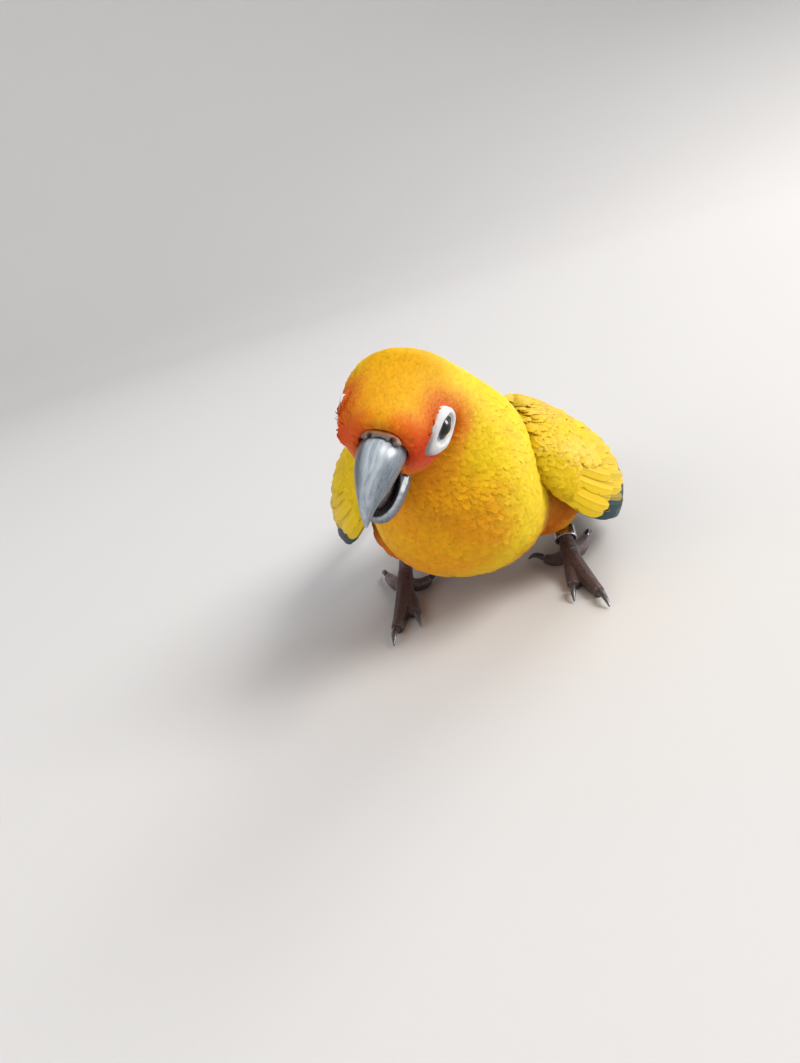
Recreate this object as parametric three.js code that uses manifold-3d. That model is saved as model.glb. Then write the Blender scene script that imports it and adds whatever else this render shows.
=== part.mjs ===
// A life-size sun conure, standing with its body leaning forward, its head turned and tilted, its bill
// open, its wings held a little out from its sides and its tail reaching back to the ground.
// Millimetres, +Z up. The bird faces -Y and its left side is +X.
import * as THREE from "three";
import { mergeVertices } from "three/addons/utils/BufferGeometryUtils.js";
import Module from "manifold-3d";

const wasm = await Module();
wasm.setup();

// Driving dimensions
const GAP = 0.3; // between neighbouring pieces
const TURN = 2 * Math.PI;

const HEAD_AT = new THREE.Vector3(-1.6, -47.7, 72.9);
const HEAD_YAW = -14.7; // degrees, towards the bird's right
const HEAD_PITCH = 17.8; // degrees, bill down
const HEAD_ROLL = 21.5; // degrees, left side down
const BILL_ROLL = 3.5; // degrees further than the head
const BODY_ROLL = 5; // degrees, left side down
const ROLL_HEIGHT = 12; // the body rolls about a line this high

const EYE_AT = [10.9, -5.9, 2.7]; // centre of the left eyeball, in the head's frame
const EYE_RADIUS = 3.4;
const LID_AT = [12.75, -6.3, 2.8];
const LID_RADIUS = 3.0; // of the opening

const RIGHT_WING_SPREAD = 0.91; // of the left wing's distance from the middle plane
const RIGHT_WING_LIFT = 2;
const TAIL_LENGTH = 132;
const TAIL_ROOT = [0, 50, 23.5];
const TAIL_REST = 0.25; // share of the tail, from its tip, that lies level

const TARSUS_RADIUS = 2.5;
const RING_RADIUS = 2.98; // inside
const RING_WALL = 0.6;
const RING_LENGTH = 4.4;
const RING_SHARE = 0.43; // of the way from the toes to the heel

const radians = THREE.MathUtils.degToRad;
const lerp = THREE.MathUtils.lerp;
const vec = (p) => (p.isVector3 ? p.clone() : new THREE.Vector3(...p));

// Solids and meshes

// A closed geometry as a solid for joining and cutting.
function solidOf(geometry) {
  const bare = geometry.clone();
  bare.deleteAttribute("normal");
  bare.deleteAttribute("uv");
  const merged = mergeVertices(bare, 1e-4);
  const mesh = new wasm.Mesh({
    numProp: 3,
    vertProperties: new Float32Array(merged.attributes.position.array),
    triVerts: new Uint32Array(merged.index.array),
  });
  const solid = new wasm.Manifold(mesh);
  if (solid.volume() > 0) return solid;
  for (let i = 0; i < mesh.triVerts.length; i += 3) {
    const first = mesh.triVerts[i];
    mesh.triVerts[i] = mesh.triVerts[i + 1];
    mesh.triVerts[i + 1] = first;
  }
  return new wasm.Manifold(mesh);
}

// The largest body of a solid as a geometry.
function geometryOf(solid) {
  const bodies = solid.decompose();
  const largest = bodies.reduce((a, b) => (b.volume() > a.volume() ? b : a));
  const mesh = largest.getMesh();
  const geometry = new THREE.BufferGeometry();
  geometry.setAttribute("position", new THREE.BufferAttribute(new Float32Array(mesh.vertProperties), 3));
  geometry.setIndex(new THREE.BufferAttribute(new Uint32Array(mesh.triVerts), 1));
  geometry.computeVertexNormals();
  return geometry;
}

const joined = (solids) => solids.reduce((a, b) => a.add(b));

// A closed tube through rings of points, each ring with the same number of points.
function tubeThrough(rings) {
  const around = rings[0].length;
  const points = rings.flat();
  const faces = [];
  for (let i = 0; i + 1 < rings.length; i++) {
    for (let j = 0; j < around; j++) {
      const a = i * around + j;
      const b = i * around + ((j + 1) % around);
      faces.push(a, b, b + around, a, b + around, a + around);
    }
  }
  const cap = (ring, start, flip) => {
    const middle = ring.reduce((sum, p) => sum.add(p), new THREE.Vector3()).divideScalar(around);
    const hub = points.push(middle) - 1;
    for (let j = 0; j < around; j++) {
      const a = start + j;
      const b = start + ((j + 1) % around);
      if (flip) faces.push(hub, b, a);
      else faces.push(hub, a, b);
    }
  };
  cap(rings[0], 0, true);
  cap(rings.at(-1), (rings.length - 1) * around, false);
  const geometry = new THREE.BufferGeometry().setFromPoints(points);
  geometry.setIndex(faces);
  return geometry;
}

// A smooth value between the rows of a table, by Catmull-Rom.
function between(rows, t) {
  const last = rows.length - 1;
  const i = Math.min(Math.floor(t), last - 1);
  const f = t - i;
  const at = (k) => rows[Math.max(0, Math.min(last, k))];
  const blend = (a, b, c, d) =>
    0.5 * (2 * b + (c - a) * f + (2 * a - 5 * b + 4 * c - d) * f * f + (3 * b - a - 3 * c + d) * f ** 3);
  const [p, q, r, s] = [at(i - 1), at(i), at(i + 1), at(i + 2)];
  return q.map((value, k) => blend(p[k], value, r[k], s[k]));
}

// A ring from four guide points: above, below, and at each side, with a rounded egg section.
function eggRing({ top, bottom, left, right, fullness }, around, grow) {
  const centre = left.clone().add(right).multiplyScalar(0.5);
  const swell = (p) => {
    const arm = p.clone().sub(centre);
    return arm.setLength(Math.max(arm.length() + grow, 1e-3));
  };
  const [up, down, leftArm, rightArm] = [top, bottom, left, right].map(swell);
  const ring = [];
  for (let j = 0; j < around; j++) {
    const angle = (TURN * j) / around;
    const c = Math.cos(angle);
    const s = Math.sin(angle);
    const rounded = (x) => Math.sign(x) * Math.abs(x) ** (2 / fullness);
    const rise = (c > 0 ? up : down).clone().multiplyScalar(Math.abs(rounded(c)));
    const reach = (s > 0 ? leftArm : rightArm).clone().multiplyScalar(Math.abs(rounded(s)));
    ring.push(centre.clone().add(rise).add(reach));
  }
  return ring;
}

// Head frame: -Y to the bill, +X to the bird's left, +Z to the crown.
const headMatrix = new THREE.Matrix4()
  .makeRotationZ(radians(HEAD_YAW))
  .multiply(new THREE.Matrix4().makeRotationX(radians(HEAD_PITCH)))
  .multiply(new THREE.Matrix4().makeRotationY(radians(HEAD_ROLL)))
  .setPosition(HEAD_AT);
const fromHead = (p) => vec(p).applyMatrix4(headMatrix);

// The bill is turned a little further than the head, about a line through its root.
const BILL_ROOT = [0, -17, 0];
const billMatrix = headMatrix
  .clone()
  .multiply(new THREE.Matrix4().makeTranslation(...BILL_ROOT))
  .multiply(new THREE.Matrix4().makeRotationY(radians(BILL_ROLL)))
  .multiply(new THREE.Matrix4().makeTranslation(...BILL_ROOT.map((x) => -x)));
const fromBill = (p) => vec(p).applyMatrix4(billMatrix);

// The body's roll fades out from the hips to the tail.
function fromBody(p) {
  const q = vec(p);
  const share = 1 - THREE.MathUtils.smoothstep(q.y, 25, 60);
  const angle = radians(BODY_ROLL) * share;
  const z = q.z - ROLL_HEIGHT;
  return new THREE.Vector3(
    q.x * Math.cos(angle) + z * Math.sin(angle),
    q.y,
    ROLL_HEIGHT + z * Math.cos(angle) - q.x * Math.sin(angle),
  );
}

// Head, neck and torso
// Each row: back of the section (y, z), underside (y, z), half width, and the height of the widest
// place as a share of the way up. The first five are in the head's frame and the others in the body's.
const HEAD_ROWS = [
  [-17.6, 6.6, -12.0, -10.6, 7.4, 0.5], // bill base
  [-15.4, 9.6, -9.6, -13.2, 10.0, 0.5], // lores
  [-9.0, 10.8, -7.6, -15.4, 12.9, 0.6], // eyes
  [1.0, 11.5, -6.4, -17.4, 14.3, 0.58], // crown and cheeks
  [11.0, 12.0, -5.4, -19.6, 16.4, 0.54], // nape and chin
];
const BODY_ROWS = [
  [-22, 75, -47, 44, 20.5, 0.52], // neck
  [-6, 68, -37, 25, 24.8, 0.5], // shoulders
  [11, 60, -15, 12, 27.5, 0.46], // belly
  [29, 50, 11, 11.5, 24, 0.46], // hips
  [45, 38, 34, 15, 16, 0.48], // rump
  [56, 28.5, 51, 18.5, 9.5, 0.5], // tail root
];
const GUIDES = [
  ...HEAD_ROWS.map((row) => guidePoints(row, fromHead)),
  ...BODY_ROWS.map((row) => guidePoints(row, fromBody)),
];
const NECK_START = HEAD_ROWS.length - 0.75;
const NECK_END = HEAD_ROWS.length + 0.35;
const BODY_END = GUIDES.length - 1;
const BODY_FULLNESS = 2.15;

function guidePoints([topY, topZ, bottomY, bottomZ, halfWidth, level], place) {
  const top = new THREE.Vector3(0, topY, topZ);
  const bottom = new THREE.Vector3(0, bottomY, bottomZ);
  const middle = bottom.clone().lerp(top, level);
  const left = middle.clone().setX(halfWidth);
  const right = middle.clone().setX(-halfWidth);
  return [top, bottom, left, right].flatMap((p) => place(p).toArray());
}

function bodyRing(t, around, grow = 0) {
  const row = between(GUIDES, t);
  const [top, bottom, left, right] = [0, 3, 6, 9].map((k) => new THREE.Vector3(...row.slice(k, k + 3)));
  return eggRing({ top, bottom, left, right, fullness: BODY_FULLNESS }, around, grow);
}

// A length of the body between two stations.
function bodyLength(from, to, steps, around, grow = 0) {
  const rings = [];
  for (let i = 0; i <= steps; i++) rings.push(bodyRing(lerp(from, to, i / steps), around, grow));
  return solidOf(tubeThrough(rings));
}

// The middle of the body at a station.
function bodyMiddle(t) {
  const row = between(GUIDES, t);
  return new THREE.Vector3((row[6] + row[9]) / 2, (row[7] + row[10]) / 2, (row[8] + row[11]) / 2);
}

// What lies behind the cut at a station, or ahead of it.
function cutAt(solid, t, offset, ahead) {
  const middle = bodyMiddle(t);
  const normal = bodyMiddle(t + 0.1).sub(bodyMiddle(t - 0.1)).normalize();
  if (ahead) normal.negate();
  const reach = normal.dot(middle) + offset;
  return solid.trimByPlane(normal.toArray(), reach);
}

const headForm = () => cutAt(bodyLength(0, NECK_START + 0.6, 12, 22), NECK_START, 0, true);
function neckForm() {
  const length = bodyLength(NECK_START - 0.6, NECK_END + 0.6, 9, 24);
  return cutAt(cutAt(length, NECK_START, GAP, false), NECK_END, 0, true);
}
function torsoForm(grow) {
  const length = bodyLength(NECK_END - 0.6, BODY_END, 15, 24, grow);
  return grow ? length : cutAt(length, NECK_END, GAP, false);
}

// Bill
// Each row: ridge (y, z), edge (y, z) and half width, in the bill's frame.
const UPPER_BILL_ROWS = [
  [-14.2, 4.2, -8.6, -3.4, 5.0],
  [-18.4, 5.9, -13.4, -4.6, 6.0],
  [-22.6, 4.9, -17.6, -5.4, 5.5],
  [-25.8, 2.1, -20.8, -6.8, 4.6],
  [-27.8, -1.8, -23.0, -7.6, 3.5],
  [-28.8, -6.2, -25.2, -8.2, 2.3],
  [-28.7, -10.0, -26.6, -11.0, 1.3],
  [-27.6, -13.8, -27.0, -14.2, 0.35],
];
const LOWER_BILL_ROWS = [
  [-6.4, -9.4, -4.6, -14.4, 5.0],
  [-10.4, -10.4, -7.6, -17.8, 6.0],
  [-14.6, -11.6, -11.2, -20.4, 5.8],
  [-18.0, -13.6, -15.0, -21.4, 4.9],
  [-20.2, -15.8, -18.2, -20.8, 3.3],
  [-21.2, -17.4, -20.4, -18.8, 1.2],
];
// The hollow of the lower bill, that the tongue lies in.
const MOUTH_AT = [0, -14.6, -11.2];
const MOUTH_RADII = [4.5, 8.4, 4.2];
const MOUTH_TILT = 32;
const BILL_AROUND = 16;

function billForm(rows, level, fullness, steps, grow = 0) {
  const rings = [];
  for (let i = 0; i <= steps; i++) {
    const [topY, topZ, bottomY, bottomZ, halfWidth] = between(rows, ((rows.length - 1) * i) / steps);
    const guides = guidePoints([topY, topZ, bottomY, bottomZ, halfWidth, level], fromBill);
    const [top, bottom, left, right] = [0, 3, 6, 9].map((k) => new THREE.Vector3(...guides.slice(k, k + 3)));
    rings.push(eggRing({ top, bottom, left, right, fullness }, BILL_AROUND, grow));
  }
  return solidOf(tubeThrough(rings));
}

// A ball stretched along the axes of a frame.
function ball(centre, radii, place, turn = [0, 0, 0], across = 20, down = 14) {
  const geometry = new THREE.SphereGeometry(1, across, down);
  geometry.scale(...radii);
  const angles = new THREE.Euler(...turn.map(radians), "ZYX");
  geometry.applyMatrix4(new THREE.Matrix4().makeRotationFromEuler(angles));
  geometry.translate(...centre);
  geometry.applyMatrix4(place);
  return solidOf(geometry);
}

const upperBillForm = (grow) => billForm(UPPER_BILL_ROWS, 0.36, 1.9, 12, grow);
const lowerBillForm = (grow) => billForm(LOWER_BILL_ROWS, 0.62, 2.2, 8, grow);
const mouthForm = (grow = 0) =>
  ball(MOUTH_AT, MOUTH_RADII.map((r) => r + grow), billMatrix, [MOUTH_TILT, 0, 0], 16, 9);
const CERE_RADII = [5, 1.9, 2.3];
const cereForm = (grow) =>
  ball([0, -17.2, 4.4], CERE_RADII.map((r) => r + grow), billMatrix, [-20, 0, 0], 10, 6);
const tongueForm = () =>
  ball([0, -12.6, -13.2], [2.9, 6.6, 3.2], billMatrix, [MOUTH_TILT, 0, 0], 12, 7).intersect(mouthForm(-GAP));
const mirrored = (p, side) => [p[0] * side, p[1], p[2]];
const eyeForm = (side, grow = 0) => {
  const radius = EYE_RADIUS + grow;
  return ball(mirrored(EYE_AT, side), [radius, radius, radius], headMatrix, [0, 90, 0], 14, 8);
};
// The bare skin and lids around an eye: an inlay of the head's own surface, long towards the bill.
const PATCH_AT = [12.9, -8.3, 1.1];
const PATCH_RADII = [2.6, 8.2, 5.1];
const patchRegion = (side, grow) => {
  const radii = PATCH_RADII.map((r) => r + grow);
  return ball(mirrored(PATCH_AT, side), radii, headMatrix, [22, 0, 0], 12, 7);
};
const lidForm = (side, grow) => {
  const lid = new THREE.TorusGeometry(LID_RADIUS + 0.3, 0.8 + grow, 5, 14);
  lid.rotateY(Math.PI / 2);
  lid.rotateZ(radians(-12 * side));
  lid.translate(...mirrored(LID_AT, side));
  lid.applyMatrix4(headMatrix);
  return solidOf(lid);
};
const eyeSkinForm = (side) => {
  const skin = patchRegion(side, 0).intersect(bodyLength(0, NECK_START + 0.6, 12, 22, 0.25));
  return skin.add(lidForm(side, 0)).subtract(eyeForm(side, GAP));
};
const eyeSkinCut = (side) => patchRegion(side, GAP).add(lidForm(side, GAP));

// Feathers
// A repeatable stream of numbers from 0 to 1.
function randomStream(seed) {
  let state = seed;
  return () => {
    state = (state + 0x6d2b79f5) | 0;
    let t = Math.imul(state ^ (state >>> 15), 1 | state);
    t = (t + Math.imul(t ^ (t >>> 7), 61 | t)) ^ t;
    return ((t ^ (t >>> 14)) >>> 0) / 4294967296;
  };
}

// A closed vane through stations, each with its four corners, both faces triangulated alike.
function vaneThrough(stations) {
  const corners = ({ topLeft, topRight, lowLeft, lowRight }) => [topLeft, topRight, lowRight, lowLeft];
  const points = stations.flatMap(corners);
  const faces = [];
  for (let i = 0; i + 1 < stations.length; i++) {
    const [tl, tr, lr, ll] = [0, 1, 2, 3].map((k) => 4 * i + k);
    const [tl2, tr2, lr2, ll2] = [4, 5, 6, 7].map((k) => 4 * i + k);
    faces.push(tl, tr, tr2, tl, tr2, tl2);
    faces.push(ll, lr2, lr, ll, ll2, lr2);
    faces.push(tl, tl2, ll2, tl, ll2, ll);
    faces.push(tr, lr, lr2, tr, lr2, tr2);
  }
  const last = 4 * (stations.length - 1);
  faces.push(0, 3, 2, 0, 2, 1);
  faces.push(last, last + 1, last + 2, last, last + 2, last + 3);
  const geometry = new THREE.BufferGeometry().setFromPoints(points);
  geometry.setIndex(faces);
  return geometry;
}

// A vane laid on a surface. Each station: s along the surface, y across it in millimetres, half the half
// width, top and low the heights of the faces, and tilt the rise from one edge to the other.
function vaneOn(place, stations) {
  return vaneThrough(
    stations.map(({ s, y, half, top, low, tilt = 0 }) => ({
      topLeft: place(s, y - half, top + tilt * half),
      topRight: place(s, y + half, top - tilt * half),
      lowLeft: place(s, y - half, low + tilt * half),
      lowRight: place(s, y + half, low - tilt * half),
    })),
  );
}

// Wings
// A folded wing lies on a bowed sheet between a lower edge and an upper edge. Each row: lower edge, bow and
// upper edge, as points of the left wing in the body's frame, from the shoulder to the tip.
const WING_ROWS = [
  [22.5, -25.0, 49.0, 26.5, -26.0, 54.0, 21.5, -20.0, 59.5],
  [29.0, -19.5, 36.5, 41.0, -18.0, 54.0, 18.5, -9.0, 63.5],
  [38.5, -9.0, 24.6, 53.0, -4.0, 48.5, 19.0, 6.0, 61.0],
  [47.5, 9.0, 16.5, 57.5, 13.0, 42.0, 20.5, 23.0, 54.5],
  [50.5, 33.0, 12.5, 56.5, 36.0, 33.0, 21.5, 42.0, 45.5],
  [48.0, 62.0, 10.5, 52.0, 64.0, 25.0, 22.5, 63.0, 35.0],
  [42.0, 92.0, 9.0, 45.0, 92.0, 18.0, 27.0, 90.0, 24.0],
  [35.5, 118.0, 9.5, 36.5, 118.5, 11.5, 33.5, 118.0, 13.0],
];
const WING_LAST = WING_ROWS.length - 1;
const WING_LENGTH = 147; // along the sheet

// A point of the left wing's sheet. s runs from the shoulder (0) to the tip (1), and t from the lower
// edge (0) to the upper (1).
function wingPoint(s, t) {
  const row = between(WING_ROWS, s * WING_LAST);
  const [lower, bow, upper] = [0, 3, 6].map((k) => new THREE.Vector3(...row.slice(k, k + 3)));
  const a = lower.clone().lerp(bow, t);
  return a.lerp(bow.lerp(upper, t), t);
}

function wingNormal(s, t) {
  const step = 0.01;
  const clamp = (x) => Math.min(1 - step, Math.max(step, x));
  const [u, v] = [clamp(s), clamp(t)];
  const ahead = wingPoint(u + step, v).sub(wingPoint(u - step, v));
  const across = wingPoint(u, v + step).sub(wingPoint(u, v - step));
  return across.cross(ahead).normalize().multiplyScalar(-1);
}

// How far it is across the sheet, from the lower edge to the upper.
function wingHeight(s) {
  const steps = 12;
  let sum = 0;
  for (let i = 0; i < steps; i++) sum += wingPoint(s, i / steps).distanceTo(wingPoint(s, (i + 1) / steps));
  return sum;
}

function onWing(s, y, lift) {
  const t = y / wingHeight(s);
  return wingPoint(s, t).addScaledVector(wingNormal(s, t), lift);
}

const ramp = (x, from, to, a, b) => lerp(a, b, THREE.MathUtils.smoothstep(x, from, to));
const ARM_END = 0.46;
const armTop = (s) => ramp(s, 0.28, ARM_END, 0, -1.5);

// The arm: the thick part of the wing that all its feathers are rooted in.
function armForm() {
  const along = 8;
  const across = 5;
  const rings = [];
  for (let i = 0; i <= along; i++) {
    const s = (ARM_END * i) / along;
    const thick = s < 0.1 ? ramp(s, 0, 0.1, 3, 8) : ramp(s, 0.15, ARM_END, 8, 5);
    const outer = [];
    const inner = [];
    for (let j = 0; j <= across; j++) {
      const t = j / across;
      const rim = Math.max(0.55, Math.sin(Math.PI * t) ** 0.4);
      const y = t * wingHeight(s);
      outer.push(onWing(s, y, armTop(s)));
      inner.push(onWing(s, y, armTop(s) - thick * rim));
    }
    rings.push([...outer, ...inner.reverse()]);
  }
  return tubeThrough(rings);
}

const VANE = 0.55; // thickness of a flight or tail feather
const LAYER = 1.05; // from one flight or tail feather to the next over it
const VANE_TIP = [
  // millimetres before the tip, share of the half width
  [6.5, 1],
  [2.2, 0.76],
  [0, 0.2],
];

// Where each flight feather ends along the sheet, from the lower edge upwards.
const PRIMARY_TIPS = [1.0, 0.98, 0.948, 0.913, 0.878, 0.842];
const SECONDARY_TIPS = [0.768, 0.748, 0.724, 0.698, 0.672];
const TERTIAL_TIPS = [0.64, 0.605, 0.565];
const FLIGHT_TIPS = [...PRIMARY_TIPS, ...SECONDARY_TIPS, ...TERTIAL_TIPS];
const FLIGHT_ROOT = 0.38;
const FLIGHT_STATIONS = [0.38, 0.48, 0.6, 0.73, 0.86];

function flightFeathers(random) {
  return FLIGHT_TIPS.map((end, i) => {
    const tip = end - 0.006 * random();
    const full = 3.1 + (i > 5 ? 0.3 : 0) + (i > 10 ? 0.5 : 0) + 0.2 * random();
    const station = (s, half) => {
      const spacing = lerp(3.35, 2.7, (s - FLIGHT_ROOT) / (1 - FLIGHT_ROOT));
      const top = ramp(s, 0.5, 0.86, -3.4, 0) + VANE / 2;
      return { s, y: 2.8 + i * spacing, half, top, low: top - VANE, tilt: LAYER / spacing };
    };
    const stations = FLIGHT_STATIONS.filter((s) => s < tip - 10 / WING_LENGTH).map((s) =>
      station(s, full * ramp(s, FLIGHT_ROOT, 0.54, 0.75, 1)),
    );
    const tipEnd = VANE_TIP.map(([before, share]) => station(tip - before / WING_LENGTH, full * share));
    return vaneOn(onWing, [...stations, ...tipEnd]);
  });
}

// A row of coverts, laid side by side over what is below them.
function covertRow(random, { root, tip, low, high, count, tops, deep }) {
  const vanes = [];
  for (let i = 0; i < count; i++) {
    const share = (i + 0.5) / count;
    const [from, to] = [root, tip].map((end) => (Array.isArray(end) ? lerp(end[0], end[1], share) : end));
    const end = to + 0.012 * (random() - 0.5);
    const alternate = i % 2 ? 0.16 : -0.16;
    const spread = (s) => ((high - low) * wingHeight(s)) / count;
    const full = 0.62 + 0.05 * random();
    const station = (s, width) => {
      const rise = (s - from) / (end - from);
      const y = lerp(low, high, share) * wingHeight(s);
      const [outside, inside] = [tops, deep].map((ends) => lerp(...ends, rise) + alternate);
      return { s, y, half: spread(s) * full * width, top: outside, low: inside };
    };
    const length = (end - from) * WING_LENGTH;
    const back = (before) => end - before / WING_LENGTH;
    const rounded = Math.min(1, length / 16);
    vanes.push(
      vaneOn(onWing, [
        station(from, 0.85),
        station(back(4.4 * rounded), 1),
        station(back(1.4 * rounded), 0.66),
        station(end, 0.2),
      ]),
    );
  }
  return vanes;
}

const COVERT_ROWS = [
  { root: [0.3, 0.28], tip: [0.56, 0.485], low: 0, high: 1, count: 8, tops: [-0.9, 0.1], deep: [-2.5, -0.8] },
  { root: 0.2, tip: [0.4, 0.375], low: 0.01, high: 0.99, count: 7, tops: [-0.6, 0.75], deep: [-2.2, -0.9] },
  { root: 0.145, tip: 0.285, low: 0.01, high: 0.99, count: 6, tops: [-0.5, 0.7], deep: [-2, -1] },
  { root: 0.085, tip: 0.205, low: 0.02, high: 0.98, count: 6, tops: [-0.5, 0.7], deep: [-2, -1] },
  { root: 0.03, tip: 0.125, low: 0.05, high: 0.95, count: 4, tops: [-0.5, 0.7], deep: [-2, -1] },
];

// A left wing's point as a point of either wing in the model.
function wingPlace(point, side) {
  const p = point.clone();
  if (side < 0) {
    p.x *= -RIGHT_WING_SPREAD;
    p.z += RIGHT_WING_LIFT;
  }
  return fromBody(p);
}

function wingForm(side) {
  const random = randomStream(side > 0 ? 11 : 23);
  const coverts = COVERT_ROWS.flatMap((row) => covertRow(random, row));
  const pieces = [armForm(), ...flightFeathers(random), ...coverts];
  const placed = pieces.map((piece) => {
    const position = piece.attributes.position;
    for (let i = 0; i < position.count; i++) {
      const q = wingPlace(new THREE.Vector3().fromBufferAttribute(position, i), side);
      position.setXYZ(i, q.x, q.y, q.z);
    }
    return solidOf(piece);
  });
  return joined(placed);
}

// Tail
// A point of the tail's lowest layer, with s from 0 at the root to 1 at the tip.
function onTail(s, x, lift) {
  const level = 1 - TAIL_REST;
  const fall = s < level ? 1 - s / level : 0;
  const z = TAIL_ROOT[2] * (0.55 * fall + 0.45 * fall * fall) + lift;
  return new THREE.Vector3(x, TAIL_ROOT[1] + TAIL_LENGTH * s, z);
}

// Each layer of tail feathers from the top down: where it ends, which side it is on (0 for a pair), which
// way it points, and how far out it starts.
const RECTRICES = [
  { end: 1.0, side: 1, angle: 0.6, start: 1.4 },
  { end: 0.985, side: -1, angle: 0.7, start: 1.6 },
  { end: 0.93, side: 0, angle: 1.9, start: 3.6 },
  { end: 0.83, side: 0, angle: 3.1, start: 4.6 },
  { end: 0.72, side: 0, angle: 4.3, start: 5.4 },
  { end: 0.61, side: 0, angle: 5.5, start: 6.0 },
  { end: 0.51, side: 0, angle: 6.8, start: 6.5 },
];
const RECTRIX_STATIONS = [-0.02, 0.2, 0.4, 0.58, 0.75, 0.86];
const RECTRIX_DROP = 0.1; // of the tail's length, over which a layer settles once the one below it has ended
const TAIL_LAYER = 0.95;

// The height of a layer: one step for each layer below it that reaches this far.
function layerHeight(layer, s) {
  const below = RECTRICES.slice(layer + 1);
  return below.reduce((sum, { end }) => sum + ramp(s, end, end + RECTRIX_DROP, TAIL_LAYER, 0), 0);
}

function tailFeathers(random) {
  return RECTRICES.flatMap(({ end, side, angle, start }, layer) =>
    (side ? [side] : [1, -1]).map((way) => {
      const tip = end - 0.008 * random();
      const full = 5.6 + 0.3 * random();
      const station = (s, half) => {
        const out = start + Math.tan(radians(angle)) * s * TAIL_LENGTH;
        const inner = side ? out - half : Math.max(0.25, out - half);
        const outer = out + half;
        const low = layerHeight(layer, s) + 0.02;
        return { s, y: (way * (inner + outer)) / 2, half: (outer - inner) / 2, top: low + VANE, low };
      };
      const body = RECTRIX_STATIONS.filter((s) => s < tip - 0.09).map((s) =>
        station(s, full * ramp(s, 0, 0.25, 0.55, 1) * ramp(s, 0.5, 1, 1, 0.72)),
      );
      const last = full * ramp(tip, 0.5, 1, 1, 0.72);
      const back = (before) => tip - (1.5 * before) / TAIL_LENGTH;
      const ends = VANE_TIP.map(([before, share]) => station(back(before), last * share));
      return solidOf(vaneOn(onTail, [...body, ...ends]));
    }),
  );
}

// The root of the tail, that its feathers and its coverts are rooted in.
function tailRoot() {
  const rings = [];
  const steps = 5;
  for (let i = 0; i <= steps; i++) {
    const s = lerp(-0.02, 0.13, i / steps);
    const half = lerp(9, 8.2, i / steps);
    const thick = lerp(10.5, 8.4, i / steps);
    const ring = [];
    for (let j = 0; j < 16; j++) {
      const angle = (TURN * j) / 16;
      const rounded = (x) => Math.sign(x) * Math.abs(x) ** 0.8;
      ring.push(onTail(s, half * rounded(Math.sin(angle)), 3.2 + 0.5 * thick * rounded(Math.cos(angle))));
    }
    rings.push(ring);
  }
  return solidOf(tubeThrough(rings));
}

// Coverts over and under the root of the tail: how far out, where they end, and the heights of their
// faces at root and end.
const TAIL_COVERTS = [
  { across: [-5.2, 5.2], end: 0.27, half: 2.7, count: 4, tops: [7.0, 8.3], lows: [4, 7.2] },
  { across: [-3.6, 3.6], end: 0.2, half: 2.9, count: 3, tops: [8.2, 9.6], lows: [5, 6.8] },
  { across: [-4.6, 4.6], end: 0.24, half: 2.9, count: 4, tops: [2, -0.9], lows: [-0.8, -1.7] },
];

function tailCoverts(random) {
  return TAIL_COVERTS.flatMap(({ across, end, half, count, tops, lows }) =>
    Array.from({ length: count }, (_, i) => {
      const x = lerp(across[0], across[1], i / (count - 1));
      const tip = end - 0.02 * Math.abs(i / (count - 1) - 0.5) - 0.01 * random();
      const step = i % 2 ? 0.2 : -0.2;
      const station = (s, share) => {
        const rise = (s + 0.02) / (tip + 0.02);
        const [top, low] = [tops, lows].map((ends) => lerp(...ends, rise) + step);
        return { s, y: x * lerp(1, 1.1, rise), half: half * share, top, low };
      };
      const back = (before) => tip - before / TAIL_LENGTH;
      const body = [station(-0.01, 0.8), station(tip * 0.5, 1), station(back(4), 0.92)];
      return solidOf(vaneOn(onTail, [...body, station(back(1.2), 0.6), station(tip, 0.2)]));
    }),
  );
}

function tailForm() {
  const random = randomStream(37);
  return joined([tailRoot(), ...tailFeathers(random), ...tailCoverts(random)]);
}

// Legs, each with its own stance. Points of the left leg and, mirrored, of the right.
const LEFT_LEG = {
  thighTop: [23, 2, 32],
  thighEnd: [29, 12.6, 15.2],
  heel: [29.3, 17, 15.5],
  toeRoot: [30.5, 1.5, 5.2],
};
const RIGHT_LEG = {
  thighTop: [15, 2, 32],
  thighEnd: [22.3, 12, 14.6],
  heel: [23.2, 17, 15.5],
  toeRoot: [24.8, 1.5, 5.2],
};
const legPoint = (side, name) => mirrored((side > 0 ? LEFT_LEG : RIGHT_LEG)[name], side);
const THIGH_ROWS = [
  // share of the way down, radius
  [0, 12],
  [0.35, 13.2],
  [0.7, 11.2],
  [1, 4.6],
];

// A round tube along points, with a radius for each, all in the body's frame.
function roundTube(centres, radii, around, grow = 0) {
  const curve = new THREE.CatmullRomCurve3(centres.map(vec));
  const last = centres.length - 1;
  const rings = centres.map((_, i) => {
    const at = curve.getPoint(i / last);
    const tangent = curve.getTangent(i / last);
    const side = new THREE.Vector3(0, 0, 1).cross(tangent);
    if (side.length() < 0.2) side.set(1, 0, 0);
    side.normalize();
    const up = tangent.clone().cross(side).normalize();
    const ring = [];
    for (let j = 0; j < around; j++) {
      const angle = (TURN * j) / around;
      const r = radii[i] + grow;
      const out = at.clone().addScaledVector(side, r * Math.cos(angle));
      ring.push(out.addScaledVector(up, r * Math.sin(angle)));
    }
    return ring;
  });
  return solidOf(tubeThrough(rings));
}

function thighForm(side, grow = 0) {
  const steps = 8;
  const centres = [];
  const radii = [];
  for (let i = 0; i <= steps; i++) {
    const s = i / steps;
    const start = legPoint(side, "thighTop");
    const end = legPoint(side, "thighEnd");
    centres.push(start.map((value, k) => lerp(value, end[k], s)));
    const row = between(THIGH_ROWS, s * (THIGH_ROWS.length - 1));
    radii.push(row[1]);
  }
  return roundTube(centres, radii, 18, grow);
}

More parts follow.
